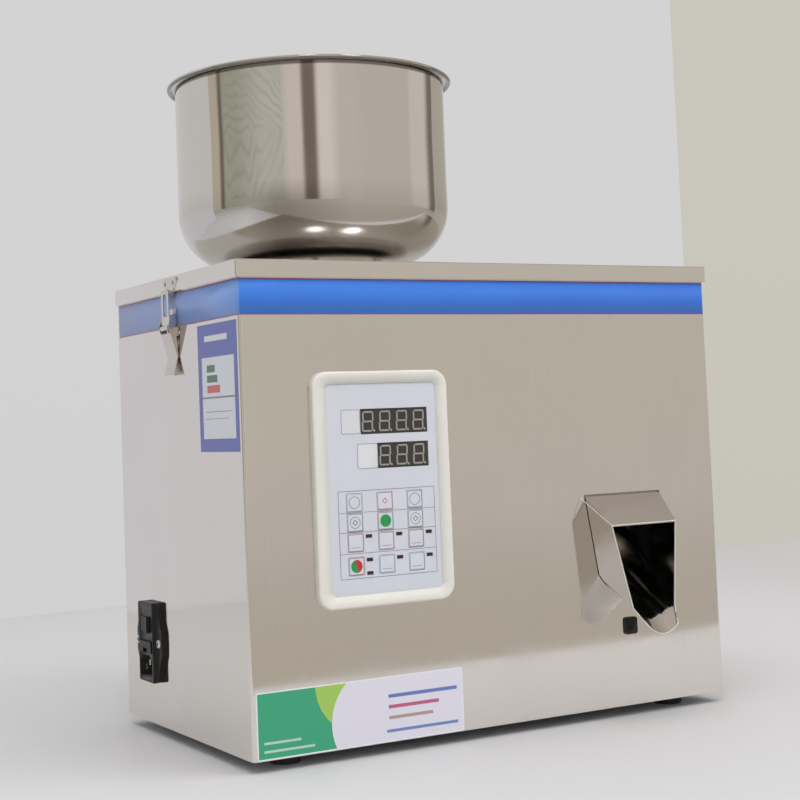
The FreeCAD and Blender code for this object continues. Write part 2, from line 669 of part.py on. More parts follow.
def latchLink(name, x, turn):
    body = newBody("latch_link_" + name)
    half = d.latchWidth / 2 - d.latchPlay
    eye = d.latchPin + d.linkSheet
    pad(body, "XZ", [circle(-linkOut, -d.latchThrow, eye)], -half, half)
    strap = box(-linkOut - d.linkSheet / 2, -linkOut + d.linkSheet / 2, -d.latchThrow, linkTop)
    pad(body, "XZ", [strap], -half, half)
    roll = d.linkSheet
    pad(body, "XZ", [circle(-linkOut + d.linkSheet / 2 - roll, linkTop, roll)], -half, half)
    pocket(body, "XZ", [circle(-linkOut, -d.latchThrow, d.latchPin + d.pinPlay)], -half - 1, half + 1)
    slot = roundBox(-half / 2, half / 2, d.latchPin * 2, linkTop - d.latchPin * 2, d.latchPin)
    pocket(body, "YZ", [slot], -linkOut - d.linkSheet, -linkOut + d.linkSheet)
    placeLatch(body, x, turn)


# Control panel, modelled from the middle of its back face: outward is -Y.

def panelWindows(play):
    """The openings for displays, lamps and each row of keys."""
    displays = [
        boxAround(weightX, d.weightUp, d.weightWidth / 2, d.displayHeight / 2, play),
        boxAround(countX, d.countUp, d.countWidth / 2, d.displayHeight / 2, play),
    ]
    lamps = [boxAround(x, z, d.lampWidth / 2, d.lampHeight / 2, play) for x, z in lampPlaces()]
    half = d.keySize / 2 + play
    keys = [roundBox(x - half, x + half, z - half, z + half, d.keyCorner) for _, x, z in keyPlaces()]
    return [displays, lamps, keys[:3], keys[3:6], keys[6:9], keys[9:]]


KEY_NAMES = (
    ("key_clear", "key_up", "key_reset"),
    ("key_left", "key_start", "key_right"),
    ("key_mode", "key_down", "key_fast"),
    ("key_power", "key_feed", "key_set"),
)


def keyPlaces():
    places = []
    for row, names in enumerate(KEY_NAMES):
        z = -d.keyBelow - d.keyPitchZ * row - (d.keyLastGap if row == len(KEY_NAMES) - 1 else 0)
        for column, name in enumerate(names):
            places.append((name, d.keyPitchX * (column - 1) - d.keyShift, z))
    return places


def lampPlaces():
    lamps = [(x + d.lampAcross, z + d.lampUp) for _, x, z in keyPlaces()[-6:]]
    power = keyPlaces()[-3]
    return lamps + [(power[1] + d.lampAcross, power[2] - d.lampDown)]


def panelFrame():
    body = newBody("panel_frame")
    w, h = d.panelWidth / 2, d.panelHeight / 2
    pad(body, "XZ", [roundBox(-w, w, -h, h, d.panelCorner)], -d.panelThickness, 0)
    rounded(body, d.panelEdge, lambda edge: liesAt(edge, "Y", -d.panelThickness))
    play = d.membranePlay
    mw, mh = d.membraneWidth / 2 + play, d.membraneHeight / 2 + play
    recess = roundBox(-mw, mw, -mh, mh, d.membraneCorner)
    pocket(body, "XZ", [recess], -d.panelThickness - 1, panelFloor)
    wall = d.panelWall
    hollow = roundBox(-w + wall, w - wall, -h + wall, h - wall, d.panelCorner - wall)
    pocket(body, "XZ", [hollow], panelFloor + wall, 1)
    for loops in panelWindows(d.keyPlay):
        pocket(body, "XZ", loops, -d.panelThickness, 0)
    place(body, x=panelX, y=front, z=d.panelMiddle)


def panelMembrane():
    body = newBody("panel_membrane")
    w, h = d.membraneWidth / 2, d.membraneHeight / 2
    pad(body, "XZ", [roundBox(-w, w, -h, h, d.membraneCorner)], membraneFace, panelFloor)
    for loops in panelWindows(d.keyPlay):
        pocket(body, "XZ", loops, membraneFace - 1, panelFloor + 1)
    place(body, x=panelX, y=front, z=d.panelMiddle)


def display(name, x, z, width):
    body = newBody(name)
    half, tall = width / 2, d.displayHeight / 2
    pad(body, "XZ", [box(-half, half, -tall, tall)], membraneFace + d.displayRecess, boardFace)
    place(body, x=panelX + x, y=front, z=d.panelMiddle + z)


def key(name, x, z):
    body = newBody(name)
    half = d.keySize / 2
    pad(body, "XZ", [roundBox(-half, half, -half, half, d.keyCorner)], keyFace, keyRimFace)
    rounded(body, d.keyEdge, lambda edge: liesAt(edge, "Y", keyFace))
    half = half + d.keyRim
    pad(body, "XZ", [box(-half, half, -half, half)], keyRimFace, keyBack)
    place(body, x=panelX + x, y=front, z=d.panelMiddle + z)


def indicatorLamps():
    body = newBody("indicator_lamps")
    loops = [boxAround(x, z, d.lampWidth / 2, d.lampHeight / 2) for x, z in lampPlaces()]
    pad(body, "XZ", loops, membraneFace - d.lampProud, boardFace)
    place(body, x=panelX, y=front, z=d.panelMiddle)


def controlBoard():
    body = newBody("control_board")
    w, h = boardWidth / 2, boardHeight / 2
    pad(body, "XZ", [box(-w, w, -h, h)], boardFace, boardFace + d.boardSheet)
    place(body, x=panelX, y=front, z=d.panelMiddle)


def keySwitches():
    body = newBody("key_switches")
    half = d.switchSize / 2
    places = [(x, z) for _, x, z in keyPlaces()]
    for row in (places[:3], places[3:6], places[6:9], places[9:]):
        pad(body, "XZ", [boxAround(x, z, half, half) for x, z in row], boardFace - d.switchHeight, boardFace)
    stems = [circle(x, z, d.switchStem / 2) for x, z in places]
    pad(body, "XZ", stems, keyBack + d.keyTravel + d.switchPlay, boardFace - d.switchHeight)
    place(body, x=panelX, y=front, z=d.panelMiddle)


def boardStandoffs():
    body = newBody("board_standoffs")
    w, h = boardWidth / 2 - d.standoffDiameter / 2, boardHeight / 2 - d.standoffDiameter / 2
    loops = [circle(a * w, b * h, d.standoffDiameter / 2) for a in (-1, 1) for b in (-1, 1)]
    pad(body, "XZ", loops, d.wallSheet, boardFace)
    place(body, x=panelX, y=front, z=d.panelMiddle)


# Discharge chute, modelled from the front panel's face: outward is -Y, Z from the cabinet's bottom.

def cheekHalf(out, z):
    """Half of the hood's outside width at a distance outside the panel and a height."""
    return d.chuteWidth / 2 - d.cheekTaperDown * (d.chuteTop - z) - d.cheekTaperOut * out


def roofAt(out):
    return d.chuteTop - d.roofDrop * out / d.roofReach


def slideAt(out):
    return d.slideAtPanel - (d.slideAtPanel - d.mouthBottom) * out / d.mouthReach


def hoodSection(out, inset, below):
    """The hood's outline at a distance outside the panel, thinner by inset, its foot lower by below."""
    roof = roofAt(out) - inset
    foot = slideAt(out) - below
    upper, lower = cheekHalf(out, roof) - inset, cheekHalf(out, foot) - inset
    return [(-lower, foot), (lower, foot), (upper, roof), (-upper, roof)]


def trough(half, edge, sag, sheet):
    """A curved sheet's section, level with its two edges at half from the middle."""
    inner = half - sheet
    outerRadius = (half * half + sag * sag) / (sag * 2)
    rest = sag - sheet
    innerRadius = (inner * inner + rest * rest) / (rest * 2)
    return [(-half, edge, outerRadius), (half, edge), (inner, edge, -innerRadius), (-inner, edge)]


def chuteOpening():
    play, wall = d.chutePlay, -d.wallSheet
    roof, foot = roofAt(wall), slideAt(sized(0))
    upper, lower = cheekHalf(wall, roof) + play, cheekHalf(sized(0), foot) + play
    sag = d.slideSag + play
    radius = (lower * lower + sag * sag) / (sag * 2)
    return [(chuteX - lower, foot, radius), (chuteX + lower, foot), (chuteX + upper, roof + play),
            (chuteX - upper, roof + play)]


def chuteHood():
    body = newBody("chute_hood")
    behind = -(d.wallSheet + d.chuteSheet)
    beyond = d.mouthReach + 1
    level = sized(0)
    loft(body, "XZ", [(out, hoodSection(out, level, level)) for out in (behind, beyond)])
    outside = d.chuteWidth / 2 + d.hoodFlange
    foot, roof = slideAt(behind), roofAt(behind)
    lower, upper = cheekHalf(behind, foot), cheekHalf(behind, roof)
    half = d.chuteSheet / 2
    flange = [
        (-outside, foot), (-lower + half, foot), (-upper + half, roof - half), (upper - half, roof - half),
        (lower - half, foot), (outside, foot), (outside, roof + d.hoodFlange),
        (-outside, roof + d.hoodFlange),
    ]
    pad(body, "XZ", [flange], d.wallSheet, d.wallSheet + d.chuteSheet)
    inner = [(out, hoodSection(out, d.chuteSheet, d.chuteWidth / 4)) for out in (behind - 1, beyond + 1)]
    loft(body, "XZ", inner, "PartDesign::SubtractiveLoft")
    mouth = [
        (-d.roofReach, roofAt(d.roofReach)), (-d.mouthReach, d.mouthBottom), (-beyond - 2, d.mouthBottom - 5),
        (-beyond - 2, d.chuteTop), (-d.roofReach, d.chuteTop),
    ]
    pocket(body, "YZ", [mouth], -d.chuteWidth, d.chuteWidth)
    place(body, x=chuteX, y=front)


def chuteSlide():
    body = newBody("chute_slide")
    t, inside, mouth = d.chuteSheet, -d.slideInside, d.mouthReach
    innerHalf, mouthHalf = cheekHalf(inside, slideAt(inside)), cheekHalf(mouth, d.mouthBottom)
    mouthSection = trough(mouthHalf, d.mouthBottom, d.mouthSag, t)
    grown = (d.slideSag - d.mouthSag) * (d.slideInside + mouth) / mouth
    innerSection = trough(innerHalf, slideAt(inside), d.mouthSag + grown, t)
    loft(body, "XZ", [(inside, innerSection), (mouth, mouthSection)])
    tip = trough(d.tongueWidth / 2, d.tongueTip + d.tongueSag, d.tongueSag, t)
    loft(body, "XZ", [(mouth, mouthSection), (d.tongueReach, tip)])
    place(body, x=chuteX, y=front)


def bagSensor():
    body = newBody("bag_sensor")
    w, h = d.sensorWidth / 2, d.sensorHeight / 2
    pad(body, "XZ", [roundBox(-w, w, -h, h, d.sensorCorner)], -d.sensorProud, 0)
    rounded(body, d.sensorProud / 4, lambda edge: liesAt(edge, "Y", -d.sensorProud))
    pad(body, "XZ", [boxAround(0, 0, w, h, -d.sensorNeck)], 0, d.sensorDepth)
    lensFace = -d.sensorProud - d.lensProud
    pad(body, "XZ", [circle(0, -d.lensBelow, d.lensDiameter / 2)], lensFace, -d.sensorProud)
    place(body, x=sensorX, y=front, z=d.sensorMiddle)


# Power inlet, modelled from the left wall's face: outward is -X.

def inletHousing():
    body = newBody("inlet_housing")
    block, ear, tall = d.inletBlock / 2, d.inletWidth / 2, d.inletHeight / 2
    flange = [
        (-block, -tall), (block, -tall), (ear, -d.inletEar), (ear, d.inletEar), (block, tall), (-block, tall),
        (-ear, d.inletEar), (-ear, -d.inletEar),
    ]
    pad(body, "YZ", [flange], -d.inletFlange, 0)
    rounded(body, d.inletEar * 0.6, lambda edge: abs(edge.BoundBox.XLength - d.inletFlange.value) < 1e-4)
    pad(body, "YZ", [roundBox(-block, block, -tall, tall, d.inletCorner)], -inletFace, -d.inletFlange)
    rounded(body, d.inletCorner / 2, lambda edge: liesAt(edge, "X", -inletFace))
    pad(body, "YZ", [boxAround(0, 0, block, tall, -d.inletNeck)], 0, d.inletDepth)
    w, h, cut = d.socketWidth / 2, d.socketHeight / 2, d.socketChamfer
    z = -d.socketBelow
    shoulder = z + h - cut
    socket = [(-w, z - h), (w, z - h), (w, shoulder), (w - cut, z + h), (-w + cut, z + h), (-w, shoulder)]
    pocket(body, "YZ", [socket], -inletFace - 1, -inletFace + d.socketDepth)
    well = boxAround(0, d.rockerAbove, d.rockerWidth / 2, d.rockerHeight / 2)
    pocket(body, "YZ", [well], -inletFace - 1, -inletFace + d.rockerWell)
    bay = boxAround(0, -d.fuseBelow, d.fuseWidth / 2, d.fuseHeight / 2)
    pocket(body, "YZ", [bay], -inletFace - 1, -inletFace + d.fuseDepth + d.drawerPlay)
    holes = [circle(side * d.inletScrews / 2, 0, d.screwShank / 2 + d.screwPlay) for side in (-1, 1)]
    pocket(body, "YZ", holes, -d.inletFlange - 1, 1)
    place(body, x=-halfWidth, y=inletY, z=d.inletMiddle)


def inletContacts():
    body = newBody("inlet_contacts")
    w, h = d.contactSheet / 2, d.contactHeight / 2
    root = -inletFace + d.socketDepth
    blades = []
    for across, up in ((-1, -1), (0, 1), (1, -1)):
        y, z = d.contactPitch * across, -d.socketBelow + d.contactUp / 2 * up
        blades.append(box(y - w, y + w, z - h, z + h))
    pad(body, "YZ", blades, root - d.contactLength, root)
    place(body, x=-halfWidth, y=inletY, z=d.inletMiddle)


def powerRocker():
    body = newBody("power_rocker")
    deep = d.rockerPivot
    end = d.rockerWidth / 2 - d.rockerPlay - deep * sine(d.rockerTilt) - d.rockerPlay
    rise = end * sine(d.rockerTilt)
    outline = [
        (-deep - rise, -end), (-deep, 0), (-deep - rise, end), (-deep / 2, end), (deep / 2, end / 2),
        (deep / 2, -end / 2), (-deep / 2, -end),
    ]
    half = d.rockerHeight / 2 - d.rockerPlay
    pad(body, "XY", [outline], -half, half)
    place(body, x=-halfWidth - inletFace + deep, y=inletY, z=d.inletMiddle + d.rockerAbove,
          axis=(0, 0, 1), angle=-d.rockerTilt)


def fuseDrawer():
    body = newBody("fuse_drawer")
    w, h = d.fuseWidth / 2 - d.drawerPlay, d.fuseHeight / 2 - d.drawerPlay
    pad(body, "YZ", [box(-w, w, -h, h)], -d.fuseProud, d.fuseDepth)
    grip = box(-w / 3, w / 3, -h - 1, -h + h * 0.8)
    pocket(body, "YZ", [grip], -d.fuseProud - 1, d.fuseProud)
    tray = box(-w + d.drawerWall, w - d.drawerWall, -h + d.drawerWall, h + 1)
    pocket(body, "YZ", [tray], d.fuseProud * 3, d.fuseDepth - d.drawerWall)
    place(body, x=-halfWidth - inletFace, y=inletY, z=d.inletMiddle - d.fuseBelow)


# Vibrating feeder

def feederStand():
    body = newBody("feeder_stand")
    t, foot = d.standSheet, d.standFoot
    z0, z1 = d.wallSheet, d.standTop
    standLeft, standRight = -d.standRear, -d.standRear + d.standLength
    profile = [
        (standLeft - foot, z0), (standLeft + t, z0), (standLeft + t, z1 - t), (standRight - t, z1 - t),
        (standRight - t, z0), (standRight + foot, z0), (standRight + foot, z0 + t), (standRight, z0 + t),
        (standRight, z1), (standLeft, z1), (standLeft, z0 + t), (standLeft - foot, z0 + t),
    ]
    half = d.standWidth / 2
    pad(body, "XZ", [profile], feederY - half, feederY + half)
    place(body)


def isolatorPlaces():
    xs = (-d.feederRear + d.isolatorDiameter, -d.feederRear + d.feederLength - d.isolatorDiameter)
    half = d.feederWidth / 2 - d.isolatorDiameter / 2
    return [(x, feederY + side * half) for x in xs for side in (-1, 1)]


def feederIsolators():
    body = newBody("feeder_isolators")
    loops = [circle(x, y, d.isolatorDiameter / 2) for x, y in isolatorPlaces()]
    pad(body, "XY", loops, d.standTop, blockBottom)
    place(body)


def springFoot(i):
    return -d.feederRear + d.springInset + d.springPitch * i


def leanAt(z):
    """How far the leaf springs have leant back at a height above the base block."""
    return (z - blockTop) * sine(d.springLean) / cosine(d.springLean)


def feederBase():
    body = newBody("feeder_base")
    x0, x1 = -d.feederRear, -d.feederRear + d.feederLength
    half = d.feederWidth / 2
    pad(body, "XZ", [box(x0, x1, blockBottom, blockTop)], feederY - half, feederY + half)
    lugs = []
    for i in (0, 1):
        foot = springFoot(i) + springAcross
        top = blockTop + d.lugHeight
        lugs.append([(foot, blockTop), (foot + d.lugLength, blockTop), (foot + d.lugLength * 0.6, top),
                     (foot - leanAt(top), top)])
    pad(body, "XZ", lugs, feederY - half, feederY + half)
    place(body)


def feederSprings():
    body = newBody("feeder_springs")
    half = d.feederWidth / 2 - d.springSheet
    leaves = []
    for i in (0, 1):
        foot, z0, z1 = springFoot(i), blockTop + d.springSheet, cradleBottom - d.springSheet
        leaves.append([(foot - leanAt(z0), z0), (foot + springAcross - leanAt(z0), z0),
                       (foot + springAcross - leanAt(z1), z1), (foot - leanAt(z1), z1)])
    pad(body, "XZ", leaves, feederY - half, feederY + half)
    place(body)


def magnetCore():
    body = newBody("magnet_core")
    x0, x1 = -d.coreBack, -d.coreBack + d.coreLength
    z0, z1, arm = blockTop, blockTop + d.coreHeight, d.coreArm
    gap = (d.coreHeight - arm * 4) / 2
    profile = [
        (x0, z0), (x1, z0), (x1, z0 + arm), (x0 + arm, z0 + arm), (x0 + arm, z0 + arm + gap),
        (x1, z0 + arm + gap), (x1, z1 - arm - gap), (x0 + arm, z1 - arm - gap), (x0 + arm, z1 - arm),
        (x1, z1 - arm), (x1, z1), (x0, z1),
    ]
    pad(body, "XZ", [profile], feederY - d.coreWidth / 2, feederY + d.coreWidth / 2)
    place(body)


def magnetCoil():
    body = newBody("magnet_coil")
    arm = d.coreArm
    gap = (d.coreHeight - arm * 4) / 2
    z0, z1 = blockTop + arm + d.coilPlay, blockTop + d.coreHeight - arm - d.coilPlay
    wide = d.coreWidth / 2 + d.coilWall
    play = d.coilPlay
    outer = roundBox(feederY - wide, feederY + wide, z0, z1, d.coilWall / 2)
    hole = box(feederY - d.coreWidth / 2 - play, feederY + d.coreWidth / 2 + play,
               blockTop + arm + gap - play, blockTop + d.coreHeight - arm - gap + play)
    pad(body, "YZ", [outer, hole], -d.coreBack + arm + play, -d.coreBack + d.coreLength - d.coilWall)
    place(body)


def feederCradle():
    body = newBody("feeder_cradle")
    x0, x1 = -d.feederRear - d.springInset, -d.feederRear + d.feederLength - d.springInset
    half = d.feederWidth / 2
    y0, y1 = feederY - half, feederY + half
    pad(body, "XZ", [box(x0, x1, cradleBottom, cradleTop)], y0, y1)
    hollow = box(y0 + d.cradleSheet, y1 - d.cradleSheet, cradleBottom - 1, cradleTop - d.cradleSheet)
    pocket(body, "YZ", [hollow], x0 - 1, x1 + 1)
    lugs = []
    for i in (0, 1):
        foot, low = springFoot(i), cradleBottom - d.lugHeight
        lean = foot - leanAt(low)
        lugs.append([(foot - leanAt(cradleBottom), cradleBottom), (lean, low),
        (lean - d.lugLength * 0.6, low),
                     (lean - d.lugLength, cradleBottom)])
    pad(body, "XZ", lugs, y0, y1)
    face = -d.coreBack + d.coreLength + d.magnetGap
    armature = box(face, face + d.armatureSheet, blockTop + d.magnetGap, cradleTop - d.cradleSheet)
    pad(body, "XZ", [armature], feederY - d.coreWidth / 2, feederY + d.coreWidth / 2)
    place(body)


def feedTrough():
    body = newBody("feed_trough")
    half, t, bend = d.troughWidth / 2, d.troughSheet, d.troughBend
    y0, y1 = feederY - half, feederY + half
    z0, z1 = cradleTop, d.troughFloor + d.troughHeight
    outer = [
        (y0 + bend, z0), (y1 - bend, z0, bend), (y1, z0 + bend), (y1, z1), (y0, z1), (y0, z0 + bend, bend),
    ]
    section = [
        (y0 + bend, z0), (y1 - bend, z0, bend), (y1, z0 + bend), (y1, z1), (y1 - t, z1),
        (y1 - t, z0 + bend, t - bend), (y1 - bend, z0 + t), (y0 + bend, z0 + t, t - bend),
        (y0 + t, z0 + bend), (y0 + t, z1), (y0, z1),
        (y0, z0 + bend, bend),
    ]
    pad(body, "YZ", [section], -d.troughRear, -d.troughRear + d.troughLength)
    pad(body, "YZ", [outer], -d.troughRear, -d.troughRear + t)
    place(body)


# Weighing

def weighBucket():
    body = newBody("weigh_bucket")
    half, t, out = d.bucketWidth / 2, d.bucketSheet, outletHalf
    y0, y1, y2 = -d.bucketFront, d.bucketRear, -d.bucketFront + d.bucketMouth
    z0, z1, z2 = d.bucketOutlet, d.bucketTop - d.bucketStraight, d.bucketTop
    loft(body, "XY", [(z0, box(-out, out, y0, y2)), (z1, box(-half, half, y0, y1))])
    pad(body, "XY", [box(-half, half, y0, y1)], z1, z2)
    inner = box(-half + t, half - t, y0 + t, y1 - t)
    outlet = box(-out + t, out - t, y0 + t, y2 - t)
    loft(body, "XY", [(z0, outlet), (z1, inner)], "PartDesign::SubtractiveLoft")
    pocket(body, "XY", [inner], z1, z2 + 1)
    hanger = [
        (y1, z2), (y1 + d.hangerSheet, z2), (y1 + d.hangerSheet, cellTop + d.hangerSheet),
        (y1 + d.hangerFoot, cellTop + d.hangerSheet), (y1 + d.hangerFoot, cellTop), (y1, cellTop),
    ]
    pad(body, "YZ", [hanger], -d.cellWidth, d.cellWidth)
    knuckle, top = d.flapKnuckle, hingeZ + d.earRise
    ear = [
        (hingeY - knuckle, hingeZ - knuckle), (hingeY + knuckle, hingeZ - knuckle),
        (hingeY + knuckle * 5, top), (hingeY - knuckle * 3, top),
    ]
    near = out + d.earGap
    pad(body, "YZ", [ear], -near - t, -near)
    pad(body, "YZ", [ear], near, near + t)
    pocket(body, "YZ", [circle(hingeY, hingeZ, d.flapPin + d.pinPlay)], -near - t - 1, near + t + 1)
    y = hingeY + d.pushArm
    bracket = box(y - d.solenoidDepth / 2, y + d.solenoidDepth / 2, solenoidBottom, z2 - t)
    pad(body, "YZ", [bracket], half - t, rodX - d.solenoidWidth / 2)
    place(body, x=bucketX)


def bucketFlap():
    body = newBody("bucket_flap")
    reach = d.bucketMouth + d.hingeBehind + d.flapSheet
    thick = d.flapSheet / 2
    pad(body, "XY", [box(-outletHalf, outletHalf, -reach, 0)], -thick, thick)
    pad(body, "YZ", [circle(0, 0, d.flapKnuckle)], -outletHalf, outletHalf)
    arm0, arm1 = d.armFromMiddle - d.armSheet / 2, d.armFromMiddle + d.armSheet / 2
    pad(body, "YZ", [circle(0, 0, d.flapPin)], -outletHalf - d.earGap - d.armSheet, arm1)
    pad(body, "YZ", [circle(0, 0, d.flapPin * 2)], arm0, arm1)
    pad(body, "YZ", [box(0, d.armLength, -d.flapPin, d.flapPin)], arm0, arm1)
    place(body, x=bucketX, y=hingeY, z=hingeZ)


def solenoid():
    body = newBody("solenoid")
    w, y, cap = d.solenoidWidth / 2, d.solenoidDepth / 2, d.solenoidCap
    pad(body, "XY", [box(-w, w, -y, y)], 0, d.solenoidHeight)
    groove(body, [box(0, d.plungerDiameter / 2 + d.flapPlay, cap, d.solenoidHeight - cap)])
    pocket(body, "XY", [circle(0, 0, d.flapPin + d.flapPlay)], -1, cap * 2)
    place(body, x=bucketX + rodX, y=hingeY + d.pushArm, z=solenoidBottom)


def solenoidPlunger():
    body = newBody("solenoid_plunger")
    core, foot = d.solenoidCap + d.latchPlay, -d.solenoidRise - d.flapPin * 2 - d.latchPlay
    pad(body, "XY", [circle(0, 0, d.plungerDiameter / 2)], core, core + d.plungerLength)
    pad(body, "XY", [circle(0, 0, d.flapPin)], foot, core)
    pad(body, "YZ", [circle(0, foot, d.flapPin)], -d.rodAside - d.armSheet / 2, d.flapPin)
    place(body, x=bucketX + rodX, y=hingeY + d.pushArm, z=solenoidBottom)


def loadCell():
    body = newBody("load_cell")
    half = d.cellWidth / 2
    y0, y1 = cellRear - d.cellLength, cellRear
    pad(body, "XY", [box(-half, half, y0, y1)], d.cellBottom, cellTop)
    middle, level, r = (y0 + y1) / 2, d.cellBottom + d.cellHeight / 2, d.cellHeight * 0.36
    slot = roundBox(middle - r * 2, middle + r * 2, level - r, level + r, r * 0.98)
    pocket(body, "YZ", [slot], -half - 1, half + 1)
    place(body, x=bucketX)


def loadCellPost():
    body = newBody("load_cell_post")
    half, t = d.cellWidth, d.postSheet
    y0, y1 = cellRear - d.postDepth, cellRear
    channel = [(-half, y0), (half, y0), (half, y0 + t), (-half + t, y0 + t), (-half + t, y1 - t),
               (half, y1 - t), (half, y1), (-half, y1)]
    pad(body, "XY", [channel], d.wallSheet, d.cellBottom)
    pad(body, "XY", [box(-half, half, y0, y1)], d.cellBottom - t, d.cellBottom)
    pad(body, "XY", [box(-half * 2, half, y0, y1)], d.wallSheet, d.wallSheet + t)
    place(body, x=bucketX)


def powerSupply():
    body = newBody("power_supply")
    x, y = d.supplyLength / 2, d.supplyWidth / 2
    pad(body, "XY", [box(-x, x, -y, y)], 0, d.supplyHeight)
    step = box(x - d.supplyStep, x + 1, -y - 1, y + 1)
    pocket(body, "XY", [step], d.supplyHeight / 2, d.supplyHeight + 1)
    holes = []
    for i in range(5):
        for j in range(3):
            holes.append(circle(-x + d.supplyStep * (i + 1), d.supplyStep * (j - 1), d.supplyStep / 5))
    pocket(body, "XY", holes, d.supplyHeight - d.wallSheet, d.supplyHeight + 1)
    place(body, x=-d.supplyFromCentre, y=feederY, z=d.wallSheet)


cabinetShell()
basePan()
rubberFeet()
rearPanel()
caseScrews()
lid()
seatRing()
bowl()
latchKeepers()
latchBases()
leverPivotPins()
for sideName, sideX, sideTurn in sidePlaces():
    latchLever(sideName, sideX, sideTurn)
    latchLink(sideName, sideX, sideTurn)
panelFrame()
panelMembrane()
display("weight_display", weightX, d.weightUp, d.weightWidth)
display("count_display", countX, d.countUp, d.countWidth)
for keyName, keyX, keyZ in keyPlaces():
    key(keyName, keyX, keyZ)
indicatorLamps()
controlBoard()
keySwitches()
boardStandoffs()
chuteHood()
chuteSlide()
bagSensor()
inletHousing()
inletContacts()
powerRocker()
fuseDrawer()
feederStand()
feederIsolators()
feederBase()
feederSprings()
magnetCore()
magnetCoil()
feederCradle()
feedTrough()
weighBucket()
bucketFlap()
solenoid()
solenoidPlunger()
loadCell()
loadCellPost()
powerSupply()

doc.recompute()
for thing in doc.Objects:
    if "Invalid" in thing.State or "Error" in thing.State:
        raise RuntimeError("%s did not build: %s" % (thing.Label, thing.State))
for feature, before in cuts:
    if feature.Shape.Volume > before.Shape.Volume - 1e-3:
        raise RuntimeError("%s cuts nothing" % feature.Label)
for piece in subParts:
    if piece.Shape.isNull() or not piece.Shape.isValid():
        raise RuntimeError("%s has no valid shape" % piece.Label)
    piece.Shape.exportStep("parts/%s.step" % piece.Label)
print("%d sub-parts" % len(subParts))
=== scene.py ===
import json
import math

import bmesh
import bpy
from mathutils import Matrix, Vector


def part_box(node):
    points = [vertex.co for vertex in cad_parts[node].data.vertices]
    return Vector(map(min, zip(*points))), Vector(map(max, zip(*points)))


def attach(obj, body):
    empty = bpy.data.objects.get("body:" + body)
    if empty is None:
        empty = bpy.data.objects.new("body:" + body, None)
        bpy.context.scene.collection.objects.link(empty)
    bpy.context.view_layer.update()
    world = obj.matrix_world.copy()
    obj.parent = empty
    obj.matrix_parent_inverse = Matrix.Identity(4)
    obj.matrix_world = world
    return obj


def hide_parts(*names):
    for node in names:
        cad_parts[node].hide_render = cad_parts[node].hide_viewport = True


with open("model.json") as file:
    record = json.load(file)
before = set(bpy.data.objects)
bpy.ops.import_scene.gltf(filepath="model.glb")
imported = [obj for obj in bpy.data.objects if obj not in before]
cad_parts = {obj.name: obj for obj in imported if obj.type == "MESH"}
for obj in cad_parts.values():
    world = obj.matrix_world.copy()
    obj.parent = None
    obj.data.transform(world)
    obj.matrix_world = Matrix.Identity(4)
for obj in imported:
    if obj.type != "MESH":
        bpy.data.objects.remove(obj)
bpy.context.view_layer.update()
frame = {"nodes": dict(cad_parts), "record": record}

# Looks of the bench-top powder filler. Lengths in the settings are millimetres where no note says metres.
# X is to the right, Y to the back and Z up, with the origin on the floor under the middle.

mm = 0.001
nodes = frame["nodes"]
collection = bpy.context.scene.collection
bodyOf = {node: body for body, members in frame["record"]["behaviour"]["bodies"].items() for node in members}

cabinet = {"left": -200, "right": 200, "front": -96.2, "bend": 2.5}


# Node helpers

def feed(tree, socket, value):
    if isinstance(value, bpy.types.NodeSocket):
        tree.links.new(value, socket)
    elif hasattr(socket.default_value, "__len__") and len(socket.default_value) == 4 and len(value) == 3:
        socket.default_value = (*value, 1)
    else:
        socket.default_value = value


def addNode(tree, kind, inputs=None, **settings):
    node = tree.nodes.new(kind)
    for key, value in settings.items():
        setattr(node, key, value)
    for key, value in (inputs or {}).items():
        feed(tree, node.inputs[key], value)
    return node


def math1(tree, operation, a, b=0.0, clamp=False):
    return addNode(tree, "ShaderNodeMath", {0: a, 1: b}, operation=operation, use_clamp=clamp).outputs[0]


def mixColour(tree, share, a, b):
    return addNode(tree, "ShaderNodeMix", {0: share, 6: a, 7: b}, data_type="RGBA").outputs[2]


def spread(tree, value, low, high, toLow, toHigh):  # low to high becomes toLow to toHigh, held at both ends
    return addNode(tree, "ShaderNodeMapRange", {0: value, 1: low, 2: high, 3: toLow, 4: toHigh}).outputs[0]


def vectorMath(tree, operation, a, b=(0, 0, 0)):
    return addNode(tree, "ShaderNodeVectorMath", {0: a, 1: b}, operation=operation).outputs["Value"]


def mixShader(tree, share, a, b):
    return addNode(tree, "ShaderNodeMixShader", {0: share, 1: a, 2: b}).outputs[0]


def glow(tree, colour):
    return addNode(tree, "ShaderNodeEmission", {"Color": colour, "Strength": 1.0}).outputs[0]


def objectPoint(tree):
    return addNode(tree, "ShaderNodeTexCoord").outputs["Object"]


def pointAxes(tree):
    return addNode(tree, "ShaderNodeSeparateXYZ", {0: objectPoint(tree)}).outputs


def addNoise(tree, scale, detail, rough=0.5, warp=0.0, point=None):
    return addNode(tree, "ShaderNodeTexNoise", {
        "Vector": point or objectPoint(tree), "Scale": scale, "Detail": detail, "Roughness": rough,
        "Distortion": warp}).outputs["Fac"]


def addBump(tree, shader, height, strength, depth):  # laid over the bump that the shader has already
    bump = addNode(tree, "ShaderNodeBump", {"Strength": strength, "Distance": depth * mm, "Height": height})
    if shader.inputs["Normal"].is_linked:
        feed(tree, bump.inputs["Normal"], shader.inputs["Normal"].links[0].from_socket)
    feed(tree, shader.inputs["Normal"], bump.outputs[0])


